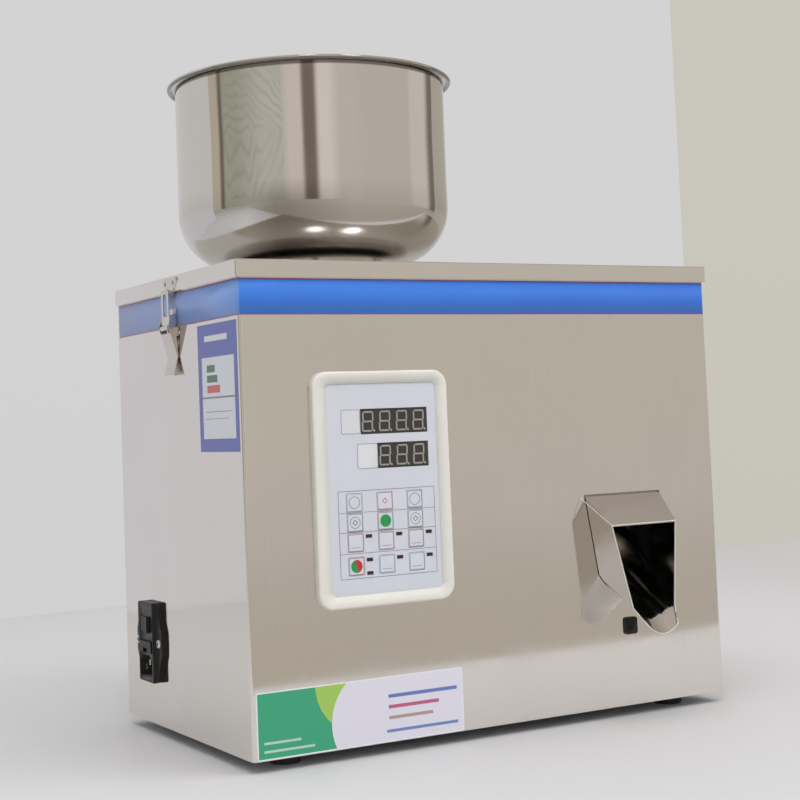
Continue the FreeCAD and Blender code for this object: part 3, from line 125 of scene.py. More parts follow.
def newGroup(name, inputs, outputs):
    tree = bpy.data.node_groups.new(name, "ShaderNodeTree")
    for label, kind, value in inputs:
        tree.interface.new_socket(label, in_out="INPUT", socket_type=kind).default_value = value
    for label, kind in outputs:
        tree.interface.new_socket(label, in_out="OUTPUT", socket_type=kind)
    return tree, tree.nodes.new("NodeGroupInput"), tree.nodes.new("NodeGroupOutput")


def useGroup(tree, group, **inputs):
    node = tree.nodes.new("ShaderNodeGroup")
    node.node_tree = group
    for key, value in inputs.items():
        feed(tree, node.inputs[key], value)
    return node


# Shared effects

patchSpan = (0.42, 0.72)  # of the noise, from clean to marked
fineWaves = 9.0           # times the scale of the slow ones
slowTone = 0.02           # times the scale of the speckle


def makeGrain():  # fine lines drawn out along one axis, as rolling and polishing leave them
    tree, enter, leave = newGroup(
        "grain", [("Stretch", "NodeSocketVector", (1, 1, 1)), ("Fineness", "NodeSocketFloat", 900.0)],
        [("Lines", "NodeSocketFloat")])
    stretch = enter.outputs["Stretch"]
    placed = addNode(tree, "ShaderNodeMapping", {"Vector": objectPoint(tree), "Scale": stretch}).outputs[0]
    lines = addNoise(tree, enter.outputs["Fineness"], detail=4.0, rough=0.6, point=placed)
    feed(tree, leave.inputs["Lines"], lines)
    return tree


def makeMarks():  # faint cloudy patches where hands and cloths have been
    tree, enter, leave = newGroup(
        "marks", [("Size", "NodeSocketFloat", 14.0), ("Amount", "NodeSocketFloat", 0.5)],
        [("Patches", "NodeSocketFloat")])
    clouds = addNoise(tree, enter.outputs["Size"], detail=5.0, rough=0.62, warp=0.6)
    patches = spread(tree, clouds, *patchSpan, 0.0, 1.0)
    feed(tree, leave.inputs["Patches"], math1(tree, "MULTIPLY", patches, enter.outputs["Amount"]))
    return tree


def makeWaves():  # slow hills and hollows of thin sheet
    tree, enter, leave = newGroup(
        "waves", [("Size", "NodeSocketFloat", 5.0), ("Fine", "NodeSocketFloat", 0.1)],
        [("Height", "NodeSocketFloat")])
    slow = addNoise(tree, enter.outputs["Size"], detail=1.5, rough=0.4)
    fine = addNoise(tree, math1(tree, "MULTIPLY", enter.outputs["Size"], fineWaves), detail=2.0)
    part = math1(tree, "MULTIPLY", fine, enter.outputs["Fine"])
    feed(tree, leave.inputs["Height"], math1(tree, "ADD", slow, part))
    return tree


def makeSpeckle():  # small even texture of moulded plastic, paint and rubber
    tree, enter, leave = newGroup(
        "speckle", [("Scale", "NodeSocketFloat", 1500.0)],
        [("Height", "NodeSocketFloat"), ("Tone", "NodeSocketFloat")])
    slowScale = math1(tree, "MULTIPLY", enter.outputs["Scale"], slowTone)
    feed(tree, leave.inputs["Height"], addNoise(tree, enter.outputs["Scale"], detail=3.0))
    feed(tree, leave.inputs["Tone"], addNoise(tree, slowScale, detail=3.0))
    return tree


grain, marks, waves, speckle = makeGrain(), makeMarks(), makeWaves(), makeSpeckle()


# Materials

def newMaterial(name, **plain):
    material = bpy.data.materials.new(name)
    material.use_nodes = True
    shader = material.node_tree.nodes["Principled BSDF"]
    for key, value in plain.items():
        feed(material.node_tree, shader.inputs[key.replace("_", " ")], value)
    return material, material.node_tree, shader


def darker(colour, share):
    return tuple(c * share for c in colour)


metalWear = {"patchShare": 0.35, "patchTone": 0.88, "patchRough": 0.09, "lineSpan": (0.35, 0.65),
             "lineTone": 0.7, "roughSpan": (0.3, 0.7), "roughShare": 0.7, "cut": 0.25, "cutDepth": 0.01}
plasticWear = {"patchSize": 25.0, "patches": 0.6, "patchRough": 0.12, "toneSpan": (0.35, 0.65), "bump": 0.4}


def sheetMetal(name, colour, rough=0.12, stretch=(1, 1, 0.02), fine=900.0, lines=0.08, marksSize=14.0,
               marksAmount=0.5, waveSize=5.0, waveDepth=0.15, waveFine=0.02):
    material, tree, shader = newMaterial(name, Metallic=1.0)
    lined = useGroup(tree, grain, Stretch=stretch, Fineness=fine).outputs["Lines"]
    patches = useGroup(tree, marks, Size=marksSize, Amount=marksAmount).outputs["Patches"]
    height = useGroup(tree, waves, Size=waveSize, Fine=waveFine).outputs["Height"]
    marked = math1(tree, "MULTIPLY", patches, metalWear["patchShare"])
    tint = mixColour(tree, marked, colour, darker(colour, metalWear["patchTone"]))
    inLines = spread(tree, lined, *metalWear["lineSpan"], 0.0, lines)
    tint = mixColour(tree, inLines, tint, darker(colour, metalWear["lineTone"]))
    feed(tree, shader.inputs["Base Color"], tint)
    worn = math1(tree, "MULTIPLY", patches, metalWear["patchRough"])
    scratched = spread(tree, lined, *metalWear["roughSpan"], rough, rough + lines * metalWear["roughShare"])
    feed(tree, shader.inputs["Roughness"], math1(tree, "ADD", scratched, worn))
    addBump(tree, shader, height, 1.0, waveDepth)
    addBump(tree, shader, lined, metalWear["cut"], metalWear["cutDepth"])
    return material


def moulded(name, colour, rough=0.4, scale=1500.0, depth=0.02, tone=0.9, specular=0.5, coat=0.0,
            coatRough=0.1):
    material, tree, shader = newMaterial(name, Specular_IOR_Level=specular, Coat_Weight=coat,
                                         Coat_Roughness=coatRough)
    texture = useGroup(tree, speckle, Scale=scale).outputs
    patches = useGroup(tree, marks, Size=plasticWear["patchSize"], Amount=plasticWear["patches"]).outputs[0]
    toned = spread(tree, texture["Tone"], *plasticWear["toneSpan"], 0.0, 1.0)
    feed(tree, shader.inputs["Base Color"], mixColour(tree, toned, colour, darker(colour, tone)))
    worn = min(1.0, rough + plasticWear["patchRough"])
    feed(tree, shader.inputs["Roughness"], spread(tree, patches, 0.0, 1.0, rough, worn))
    addBump(tree, shader, texture["Height"], plasticWear["bump"], depth)
    return material


finishes = {
    "cabinet": sheetMetal("cabinetSteel", (0.80, 0.77, 0.73), rough=0.05, lines=0.05, waveDepth=0.22,
                          waveSize=4.0),
    "lid": sheetMetal("lidSteel", (0.82, 0.79, 0.755), rough=0.05, lines=0.05, stretch=(0.02, 1, 1),
                      waveDepth=0.1),
    "bowl": sheetMetal("bowlSteel", (0.745, 0.725, 0.695), rough=0.035, stretch=(1, 1, 0.05), lines=0.04,
                       waveSize=9.0, waveDepth=0.16, waveFine=0.04),
    "chute": sheetMetal("chuteSteel", (0.69, 0.66, 0.62), rough=0.07, stretch=(1, 0.03, 0.03), waveDepth=0.1),
    "latch": sheetMetal("latchSteel", (0.72, 0.705, 0.67), rough=0.16, fine=1500.0, marksSize=60.0),
    "lever": sheetMetal("leverSteel", (0.70, 0.67, 0.63), rough=0.18, fine=1500.0, marksSize=60.0,
                        marksAmount=0.8),
    "zinc": sheetMetal("zincSheet", (0.60, 0.61, 0.62), rough=0.36, lines=0.2, marksSize=40.0),
    "screw": sheetMetal("screwSteel", (0.74, 0.74, 0.73), rough=0.22, fine=2500.0, marksSize=120.0),
    "spring": sheetMetal("springSteel", (0.36, 0.37, 0.39), rough=0.3),
    "block": sheetMetal("machinedBlock", (0.58, 0.59, 0.60), rough=0.34, stretch=(0.03, 1, 1), lines=0.3),
    "food": sheetMetal("troughSteel", (0.76, 0.75, 0.73), rough=0.22, stretch=(0.02, 1, 1)),
    "aluminium": sheetMetal("cellAluminium", (0.70, 0.71, 0.72), rough=0.3, marksSize=50.0),
    "brass": sheetMetal("contactBrass", (0.78, 0.70, 0.50), rough=0.22, fine=2000.0, marksSize=90.0),
    "copper": sheetMetal("coilWire", (0.66, 0.30, 0.13), rough=0.28, stretch=(0.02, 1, 1), fine=1300.0,
                         lines=0.5),
    "iron": sheetMetal("corePlates", (0.24, 0.23, 0.23), rough=0.4, stretch=(1, 0.02, 1), fine=1200.0,
                       lines=0.6),
    "rubber": moulded("footRubber", (0.025, 0.025, 0.026), rough=0.72, scale=900.0, depth=0.05, tone=0.7),
    "cream": moulded("creamPlastic", (0.78, 0.76, 0.70), rough=0.30, tone=0.96, coat=0.15),
    "membrane": moulded("membraneFilm", (0.645, 0.66, 0.725), rough=0.42, scale=2600.0, depth=0.008,
                        tone=0.975),
    "key": moulded("keyFilm", (0.655, 0.675, 0.73), rough=0.38, scale=2600.0, depth=0.008, tone=0.97),
    "window": moulded("displayWindow", (0.030, 0.027, 0.024), rough=0.18, depth=0.002, coat=0.4,
                      coatRough=0.05),
    "lamp": moulded("lampWindow", (0.022, 0.018, 0.020), rough=0.2, depth=0.002, coat=0.4),
    "black": moulded("blackPlastic", (0.012, 0.011, 0.0115), rough=0.36, scale=1300.0, depth=0.03, tone=0.8,
                     specular=0.28),
    "switch": moulded("switchPlastic", (0.04, 0.04, 0.042), rough=0.5),
    "board": moulded("boardGreen", (0.03, 0.17, 0.08), rough=0.35, tone=0.8, coat=0.3),
}
print("finishes made:", len(finishes))

finishOfNode = {
    "cabinet": ("cabinet_shell", "rear_panel"),
    "lid": ("lid", "seat_ring"),
    "bowl": ("bowl",),
    "chute": ("chute_hood", "chute_slide"),
    "latch": ("latch_keepers", "lever_pivot_pins", "latch_link_left", "latch_link_right"),
    "lever": ("latch_lever_left", "latch_lever_right", "latch_bases"),
    "zinc": ("base_pan", "feeder_stand", "solenoid", "load_cell_post"),
    "screw": ("case_screws", "solenoid_plunger"),
    "spring": ("feeder_springs",),
    "block": ("feeder_base", "feeder_cradle"),
    "food": ("feed_trough", "weigh_bucket", "bucket_flap"),
    "aluminium": ("load_cell", "power_supply"),
    "brass": ("inlet_contacts", "board_standoffs"),
    "copper": ("magnet_coil",),
    "iron": ("magnet_core",),
    "rubber": ("rubber_feet", "feeder_isolators"),
    "cream": ("panel_frame",),
    "membrane": ("panel_membrane",),
    "key": tuple(name for name in nodes if name.startswith("key_") and name != "key_switches"),
    "window": ("weight_display", "count_display"),
    "lamp": ("indicator_lamps",),
    "black": ("bag_sensor", "inlet_housing", "power_rocker", "fuse_drawer"),
    "switch": ("key_switches",),
    "board": ("control_board",),
}
finishFor = {node: finishes[finish] for finish, members in finishOfNode.items() for node in members}
for name, node in nodes.items():
    node.data.materials.clear()
    node.data.materials.append(finishFor[name])
print("nodes given a finish:", len(nodes))


# Piece helpers

def newPiece(name, bm, materials, body, smooth=0, replaced=()):
    mesh = bpy.data.meshes.new(name)
    bm.to_mesh(mesh)
    bm.free()
    for material in materials:
        mesh.materials.append(material)
    if smooth:
        mesh.shade_smooth()
        mesh.set_sharp_from_angle(angle=math.radians(smooth))
    piece = bpy.data.objects.new(name, mesh)
    collection.objects.link(piece)
    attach(piece, body)
    if replaced:
        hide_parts(*replaced)
    return piece


skin = {"weld": 0.002, "flat": 0.5, "smooth": 30, "keySmooth": 35, "bucketSmooth": 20, "bucketEdge": 0.22,
        "latchEdge": 0.12, "edgeSteps": 2, "edgeAngle": 40}


def softenEdges(piece, width):
    modifier = piece.modifiers.new("softEdges", "BEVEL")
    modifier.width = width * mm
    modifier.segments = skin["edgeSteps"]
    modifier.limit_method = "ANGLE"
    modifier.angle_limit = math.radians(skin["edgeAngle"])
    modifier.harden_normals = True


def refine(node, smooth=skin["smooth"], edge=0.0, tidy=True):  # an evenly shaded stand-in for a CAD node
    bm = bmesh.new()
    bm.from_mesh(nodes[node].data)
    bmesh.ops.remove_doubles(bm, verts=bm.verts, dist=skin["weld"] * mm)
    if tidy:
        bmesh.ops.dissolve_limit(bm, angle_limit=math.radians(skin["flat"]), use_dissolve_boundaries=False,
                                 verts=bm.verts, edges=bm.edges)
    piece = newPiece(node + "_skin", bm, [finishFor[node]], bodyOf[node], smooth, [node])
    if edge:
        softenEdges(piece, edge)


def faceFront(bm, x, y, z):  # a flat drawing in X and Y is stood up to face the front
    stand = Matrix.Rotation(math.radians(90), 4, "X")
    bmesh.ops.transform(bm, matrix=Matrix.Translation(Vector((x, y, z)) * mm) @ stand, verts=bm.verts)


def closeShape(bm, before, material, line):  # marks what was just drawn, and leaves only its edge as a line
    drawn = [face for face in bm.faces if face not in before]
    if line:
        bmesh.ops.inset_region(bm, faces=drawn, thickness=line * mm, use_even_offset=True, use_boundary=True)
        bmesh.ops.delete(bm, geom=drawn, context="FACES")
    for face in bm.faces:
        if face not in before:
            face.material_index = material


def flatBox(bm, x, y, width, height, corner=0.0, material=0, line=0.0, lift=0.0, turn=0.0):
    before = set(bm.faces)
    made = bmesh.ops.create_grid(bm, x_segments=1, y_segments=1, size=0.5)["verts"]
    bmesh.ops.scale(bm, vec=(width * mm, height * mm, 1), verts=made)
    bmesh.ops.rotate(bm, matrix=Matrix.Rotation(math.radians(turn), 3, "Z"), verts=made)
    bmesh.ops.translate(bm, vec=(x * mm, y * mm, lift * mm), verts=made)
    if corner:
        edges = list({edge for vert in made for edge in vert.link_edges})
        bmesh.ops.bevel(bm, geom=made + edges, offset=corner * mm, segments=5, profile=0.5, material=-1,
                        affect="VERTICES")
    closeShape(bm, before, material, line)


def disc(bm, x, y, radius, material=0, line=0.0, sides=40):
    before = set(bm.faces)
    made = bmesh.ops.create_circle(bm, cap_ends=True, segments=sides, radius=radius * mm)["verts"]
    bmesh.ops.translate(bm, vec=(x * mm, y * mm, 0), verts=made)
    closeShape(bm, before, material, line)


def thicken(bm, depth):  # gives a flat print its film, outwards
    flat = list(bm.faces)
    for face in flat:
        face.normal_update()
    solid = bmesh.ops.extrude_face_region(bm, geom=flat)
    lifted = [v for v in solid["geom"] if isinstance(v, bmesh.types.BMVert)]
    bmesh.ops.translate(bm, vec=(0, 0, depth * mm), verts=lifted)
    bmesh.ops.recalc_face_normals(bm, faces=bm.faces)


# Cabinet, lid and rear

for name in ("cabinet_shell", "lid", "rear_panel", "base_pan", "seat_ring"):
    refine(name)
refine("weigh_bucket", smooth=skin["bucketSmooth"], edge=skin["bucketEdge"])
refine("chute_hood", smooth=0)
for name in ("panel_frame", "bag_sensor", "inlet_housing", "chute_slide"):
    refine(name, tidy=False)
refine("panel_membrane", smooth=0, tidy=False)
for name in ("feed_trough", "rubber_feet", "power_rocker", "fuse_drawer", "bucket_flap", "solenoid",
             "magnet_coil", "feeder_isolators", "load_cell"):
    refine(name)
for name in finishOfNode["latch"] + finishOfNode["lever"]:
    refine(name, edge=skin["latchEdge"])
for name in finishOfNode["key"]:
    refine(name, smooth=skin["keySmooth"])
print("cabinet and sheet parts refined")

stripe = {
    "low": 300.3, "high": 325.5, "film": 0.12, "line": 0.9, "paleShare": 0.4, "back": 133.5, "bendSteps": 8,
    # the side tones are the blue with a painted sheen of the reflected wall
    "blue": (0.045, 0.21, 0.72), "deep": (0.04, 0.165, 0.64), "side": (0.16, 0.32, 0.74),
    "sideSheenBack": (0.30, 0.385, 0.68), "crimson": (0.42, 0.05, 0.16), "pale": (0.70, 0.55, 0.66),
    "rough": 0.3, "specular": 0.35, "coat": 0.12, "coatRough": 0.06, "cloudSize": 9.0, "cloud": 0.5,
    "bump": 0.3, "bumpDepth": 0.03, "along": (-0.2, 0.2, 0.0, 0.8),  # metres, and the shares there
    "backwards": (-0.09, 0.13, 0.0, 1.0),
}


def stripeFilm():
    material, tree, shader = newMaterial(
        "stripeFilm", Roughness=stripe["rough"], Specular_IOR_Level=stripe["specular"],
        Coat_Weight=stripe["coat"], Coat_Roughness=stripe["coatRough"])
    axes = pointAxes(tree)
    share = spread(tree, axes["Z"], stripe["low"] * mm, stripe["high"] * mm, 0.0, 1.0)
    fromMiddle = math1(tree, "ABSOLUTE", math1(tree, "SUBTRACT", share, 0.5))
    line = stripe["line"] / (stripe["high"] - stripe["low"])
    inLine = math1(tree, "GREATER_THAN", fromMiddle, 0.5 - line)
    inPale = math1(tree, "GREATER_THAN", fromMiddle, 0.5 - line * stripe["paleShare"])
    cloud = useGroup(tree, marks, Size=stripe["cloudSize"], Amount=stripe["cloud"]).outputs["Patches"]
    along = spread(tree, axes["X"], *stripe["along"])
    blue = mixColour(tree, math1(tree, "ADD", along, cloud, True), stripe["blue"], stripe["deep"])
    # painted sheen: the side film is lighter, and lighter still towards the back, standing in for the white
    # wall reflected in its coat
    sheenOnSide = math1(tree, "LESS_THAN", axes["X"], (cabinet["left"] + 1) * mm)
    backwards = spread(tree, axes["Y"], *stripe["backwards"])
    blue = mixColour(tree, sheenOnSide, blue, mixColour(tree, backwards, stripe["side"], stripe["sideSheenBack"]))
    edged = mixColour(tree, inLine, blue, stripe["crimson"])
    feed(tree, shader.inputs["Base Color"], mixColour(tree, inPale, edged, stripe["pale"]))
    addBump(tree, shader, cloud, stripe["bump"], stripe["bumpDepth"])
    return material


def makeStripe():  # one printed film round the left side, the front and the right side
    bm = bmesh.new()
    path = [(cabinet["left"], stripe["back"]), (cabinet["left"], cabinet["front"]),
            (cabinet["right"], cabinet["front"]), (cabinet["right"], stripe["back"])]
    corners = [bm.verts.new(Vector((x, y, stripe["low"])) * mm) for x, y in path]
    edges = [bm.edges.new((a, b)) for a, b in zip(corners, corners[1:])]
    bmesh.ops.bevel(bm, geom=corners[1:3] + edges, offset=cabinet["bend"] * mm, segments=stripe["bendSteps"],
                    profile=0.5, material=-1, affect="VERTICES")
    raised = bmesh.ops.extrude_edge_only(bm, edges=bm.edges)["geom"]
    lifted = [v for v in raised if isinstance(v, bmesh.types.BMVert)]
    bmesh.ops.translate(bm, vec=(0, 0, (stripe["high"] - stripe["low"]) * mm), verts=lifted)
    bmesh.ops.recalc_face_normals(bm, faces=bm.faces)
    middle = Vector(((cabinet["left"] + cabinet["right"]) / 2, stripe["back"] / 2, stripe["low"])) * mm
    if sum(face.normal.dot(face.calc_center_median() - middle) for face in bm.faces) < 0:
        bmesh.ops.reverse_faces(bm, faces=bm.faces)
    piece = newPiece("blue_stripe", bm, [stripeFilm()], "cabinet", smooth=skin["smooth"])
    film = piece.modifiers.new("film", "SOLIDIFY")
    film.thickness = stripe["film"] * mm
    film.offset = 1.0


makeStripe()

labels = {"film": 0.12, "rough": 0.3, "coat": 0.3, "coatRough": 0.12, "rippleSize": 30.0, "ripple": 0.2,
          "bump": 0.5, "bumpDepth": 0.05}
leftLabel = {
    "y": (-92.0, -25.0), "z": (210.0, 298.0), "corner": 0.8, "blue": (0.09, 0.115, 0.40),
    "white": (0.62, 0.65, 0.69), "green": (0.05, 0.15, 0.09), "red": (0.55, 0.08, 0.07),
    "rule": (0.16, 0.17, 0.22),
    "zones": (  # from y to y and from z to z, each over the ones before it
        ("white", (-86.5, -31.5, 219.0, 275.0)), ("rule", (-86.5, -31.5, 246.6, 247.8)),
        ("green", (-54.0, -40.0, 264.6, 269.6)), ("green", (-58.0, -40.0, 257.6, 262.6)),
        ("red", (-62.0, -40.0, 250.4, 255.6)), ("rule", (-82.0, -36.0, 237.2, 237.7)),
        ("rule", (-76.0, -36.0, 232.4, 232.8)), ("white", (-76.0, -37.0, 286.0, 290.0)),
    ),
}
frontLabel = {
    "x": (-197.0, -38.0), "z": (8.4, 52.4), "corner": 1.6, "border": 0.9, "green": (0.03, 0.36, 0.185),
    "lime": (0.35, 0.56, 0.10), "pale": (0.73, 0.71, 0.80), "edge": (0.80, 0.80, 0.84),
    "arc": (-105.3, 24.4, 36.6), "wedge": (-118.4, 52.4, 35.1),  # x, z and radius
    "rules": (
        ((-98, -43, 37.8, 40.2), (0.12, 0.19, 0.50)), ((-98, -58, 30.6, 33.0), (0.50, 0.10, 0.22)),
        ((-98, -63, 23.4, 25.6), (0.42, 0.29, 0.27)), ((-100, -43, 14.6, 16.6), (0.14, 0.23, 0.50)),
        ((-192, -165, 18.4, 20.0), (0.45, 0.66, 0.55)), ((-192, -155, 13.0, 14.6), (0.45, 0.66, 0.55)),
    ),
}


def insideBox(tree, u, v, box):  # 1 where u and v lie in the box of low u, high u, low v, high v in mm
    tests = [math1(tree, "GREATER_THAN", u, box[0] * mm), math1(tree, "LESS_THAN", u, box[1] * mm),
             math1(tree, "GREATER_THAN", v, box[2] * mm), math1(tree, "LESS_THAN", v, box[3] * mm)]
    share = tests[0]
    for test in tests[1:]:
        share = math1(tree, "MULTIPLY", share, test)
    return share


def labelBase(name):
    material, tree, shader = newMaterial(name, Roughness=labels["rough"], Coat_Weight=labels["coat"],
                                         Coat_Roughness=labels["coatRough"])
    ripple = useGroup(tree, waves, Size=labels["rippleSize"], Fine=labels["ripple"]).outputs["Height"]
    addBump(tree, shader, ripple, labels["bump"], labels["bumpDepth"])
    return material, tree, shader, pointAxes(tree)


def leftLabelFilm():
    material, tree, shader, axes = labelBase("leftLabelFilm")
    colour = leftLabel["blue"]
    for tone, box in leftLabel["zones"]:
        colour = mixColour(tree, insideBox(tree, axes["Y"], axes["Z"], box), colour, leftLabel[tone])
    feed(tree, shader.inputs["Base Color"], colour)
    return material


def outsideCircle(tree, u, v, circle):
    du = math1(tree, "SUBTRACT", u, circle[0] * mm)
    dv = math1(tree, "SUBTRACT", v, circle[1] * mm)
    squared = math1(tree, "ADD", math1(tree, "MULTIPLY", du, du), math1(tree, "MULTIPLY", dv, dv))
    return math1(tree, "GREATER_THAN", squared, (circle[2] * mm) ** 2)


def frontLabelFilm():
    material, tree, shader, axes = labelBase("frontLabelFilm")
    x, z = axes["X"], axes["Z"]
    left = math1(tree, "LESS_THAN", x, frontLabel["arc"][0] * mm)
    outsideArc = math1(tree, "MULTIPLY", outsideCircle(tree, x, z, frontLabel["arc"]), left)
    outsideWedge = outsideCircle(tree, x, z, frontLabel["wedge"])
    green = math1(tree, "MULTIPLY", outsideArc, outsideWedge)
    colour = mixColour(tree, outsideArc, frontLabel["pale"], frontLabel["lime"])
    colour = mixColour(tree, green, colour, frontLabel["green"])
    for box, tone in frontLabel["rules"]:
        colour = mixColour(tree, insideBox(tree, x, z, box), colour, tone)
    (x0, x1), (z0, z1), border = frontLabel["x"], frontLabel["z"], frontLabel["border"]
    inside = insideBox(tree, x, z, (x0 + border, x1 - border, z0 + border, z1 - border))
    feed(tree, shader.inputs["Base Color"], mixColour(tree, inside, frontLabel["edge"], colour))
    return material


def makeLabels():
    bm = bmesh.new()
    x0, x1 = frontLabel["x"]
    z0, z1 = frontLabel["z"]
    flatBox(bm, (x0 + x1) / 2, (z0 + z1) / 2, x1 - x0, z1 - z0, corner=frontLabel["corner"])
    thicken(bm, labels["film"])
    faceFront(bm, 0, cabinet["front"], 0)
    newPiece("front_label", bm, [frontLabelFilm()], "cabinet")
    bm = bmesh.new()
    y0, y1 = leftLabel["y"]
    z0, z1 = leftLabel["z"]
    flatBox(bm, -(y0 + y1) / 2, (z0 + z1) / 2, y1 - y0, z1 - z0, corner=leftLabel["corner"])
    thicken(bm, labels["film"])
    faceFront(bm, 0, 0, 0)
    bmesh.ops.rotate(bm, matrix=Matrix.Rotation(math.radians(-90), 3, "Z"), verts=bm.verts)
    bmesh.ops.translate(bm, vec=(cabinet["left"] * mm, 0, 0), verts=bm.verts)
    newPiece("left_label", bm, [leftLabelFilm()], "cabinet")


makeLabels()
print("stripe and labels made")

lidSeams = {"width": 0.5, "proud": 0.06, "low": 326.6, "high": 337.2, "sunk": 0.18, "behind": 0.9,
            "dark": (0.03, 0.027, 0.024), "light": (0.10, 0.09, 0.08)}


def makeLidSeams():  # the open corner joints of the folded skirt
    material, tree, shader = newMaterial("seamShadow", Roughness=0.8)
    tone = useGroup(tree, speckle, Scale=900.0).outputs["Tone"]
    feed(tree, shader.inputs["Base Color"], mixColour(tree, tone, lidSeams["dark"], lidSeams["light"]))
    low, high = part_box("lid")
    bm = bmesh.new()
    for x, inward in ((low.x, 1), (high.x, -1)):
        made = bmesh.ops.create_cube(bm, size=1.0)["verts"]
        bmesh.ops.scale(bm, vec=Vector((lidSeams["width"] + lidSeams["proud"], lidSeams["width"],
                                        lidSeams["high"] - lidSeams["low"])) * mm, verts=made)
        bmesh.ops.translate(bm, vec=(x + inward * lidSeams["sunk"] * mm, low.y + lidSeams["behind"] * mm,
                                     (lidSeams["low"] + lidSeams["high"]) / 2 * mm), verts=made)
    newPiece("lid_seams", bm, [material], "lid")


makeLidSeams()

edgeHighlight = {  # the points are x from the middle, y and z
    "radius": 0.4, "foldRadius": 0.3, "sides": 12, "smooth": 40, "middle": 110.5, "tip": 64.6,
    "mouth": ((19.3, -127.3, 83.6), (29.8, -120.3, 143.9)), "fold": (39.8, -96.6, 164.3),
    "tongue": ((15.9, -132.3, 76.3), (13.4, -137.2, 70.8)), "tipSteps": (0.8, 0.6, 0.4, 0.2, 0.0),
    # pale tones of the painted highlight on the rods
    "bright": (0.84, 0.83, 0.81), "dull": (0.66, 0.64, 0.61),
}


def rod(bm, a, b, radius):
    a, b = Vector(a) * mm, Vector(b) * mm
    made = bmesh.ops.create_cone(bm, cap_ends=True, segments=edgeHighlight["sides"], radius1=radius * mm,
                                 radius2=radius * mm, depth=(b - a).length)["verts"]
    turn = (b - a).to_track_quat("Z", "Y").to_matrix().to_4x4()
    bmesh.ops.transform(bm, matrix=Matrix.Translation((a + b) / 2) @ turn, verts=made)


def makeEdgeHighlights():  # thin rods with a painted highlight along the chute's mouth and tongue edges and its left fold, standing in for light caught on the cut sheet edges
    bm = bmesh.new()
    low, high = edgeHighlight["mouth"]
    endX, endY, endZ = edgeHighlight["tongue"][1]
    half = [low, *edgeHighlight["tongue"]]
    for share in edgeHighlight["tipSteps"]:
        half.append((endX * share, endY, edgeHighlight["tip"] + (endZ - edgeHighlight["tip"]) * share ** 2))
    for side in (-1, 1):
        placed = [(edgeHighlight["middle"] + side * x, y, z) for x, y, z in [high] + half]
        for a, b in zip(placed, placed[1:]):
            rod(bm, a, b, edgeHighlight["radius"])
        if side < 0:  # only the left fold gets the painted highlight
            x, y, z = edgeHighlight["fold"]
            rod(bm, (edgeHighlight["middle"] - x, y, z), placed[0], edgeHighlight["foldRadius"])
    ends = [(edgeHighlight["middle"] + side * high[0], high[1], high[2]) for side in (-1, 1)]
    rod(bm, *ends, edgeHighlight["radius"])
    material, tree, shader = newMaterial("paintedEdgeHighlight", Metallic=0.35, Roughness=0.3)
    tone = useGroup(tree, speckle, Scale=1200.0).outputs["Tone"]
    feed(tree, shader.inputs["Base Color"], mixColour(tree, tone, edgeHighlight["bright"], edgeHighlight["dull"]))
    newPiece("chute_edge_highlights", bm, [material], "cabinet", smooth=edgeHighlight["smooth"])


makeEdgeHighlights()

crosses = {"long": 3.4, "wide": 0.75, "deep": 0.3, "inlet": [(-204.45, y, 69.0) for y in (59.8, 99.8)],
           "rear": [(x, 136.95, z) for x in (-193, 193) for z in (32, 172.5, 313)]}


def makeCrosses():  # shadowed cross recesses on the inlet and rear screws
    bm = bmesh.new()
    long, wide, deep = crosses["long"], crosses["wide"], crosses["deep"]
    for kind in ("inlet", "rear"):
        for place in crosses[kind]:
            for a, b in ((long, wide), (wide, long)):
                made = bmesh.ops.create_cube(bm, size=1.0)["verts"]
                size = (deep, a, b) if kind == "inlet" else (a, deep, b)
                bmesh.ops.scale(bm, vec=Vector(size) * mm, verts=made)
                bmesh.ops.translate(bm, vec=Vector(place) * mm, verts=made)
    newPiece("screw_crosses", bm, [finishes["black"]], "cabinet")


makeCrosses()
print("hem and screw marks made")

# Bowl

bowl = {
    "x": -82, "y": 19.8, "base": 346, "radius": 103, "height": 140, "corner": 42, "sheet": 1.0, "rim": 6,
    "roll": 1.7, "neck": 22, "neckLength": 64, "steps": 160, "arcSteps": 14, "midWall": 0.62, "smooth": 40,
    "weld": 0.001,
    # neck points are from the neck's radius, rim points from the wall's radius and the bowl's height
    "neckOut": ((0.0, -2.0), (0.6, -0.6), (2.0, 0.0)), "rimOut": ((0.0, -3.0), (0.4, -1.7), (1.4, -1.1)),
    "rimIn": ((0.6, -0.15), (-0.7, -1.0), (-1.0, -2.4)), "neckIn": ((1.6, 1.0), (-0.4, 0.4), (-1.0, -1.2)),
    "beadTop": 1.2, "beadFrom": 200, "beadTurn": 250,
}
# The shade tone is painted shade under the rim and on the front of the bottom curve; dull adds roughness low
# down.
bowlShadeAndDull = {  # spans in metres from and to, and the shares there
    "shade": (0.10, 0.085, 0.065), "acrossWay": (0.873, -0.487, 0), "left": (-0.125, -0.105, 0.25, 1.0),
    "right": (-0.095, -0.05, 1.0, 0.3), "curve": (0.400, 0.385, 0.0, 0.5), "dull": (0.378, 0.356, 0.0, 0.16),
    "rimLow": (0.4800, 0.4812, 0.0, 0.8), "rimHigh": (0.4846, 0.4836, 0.0, 1.0),
}


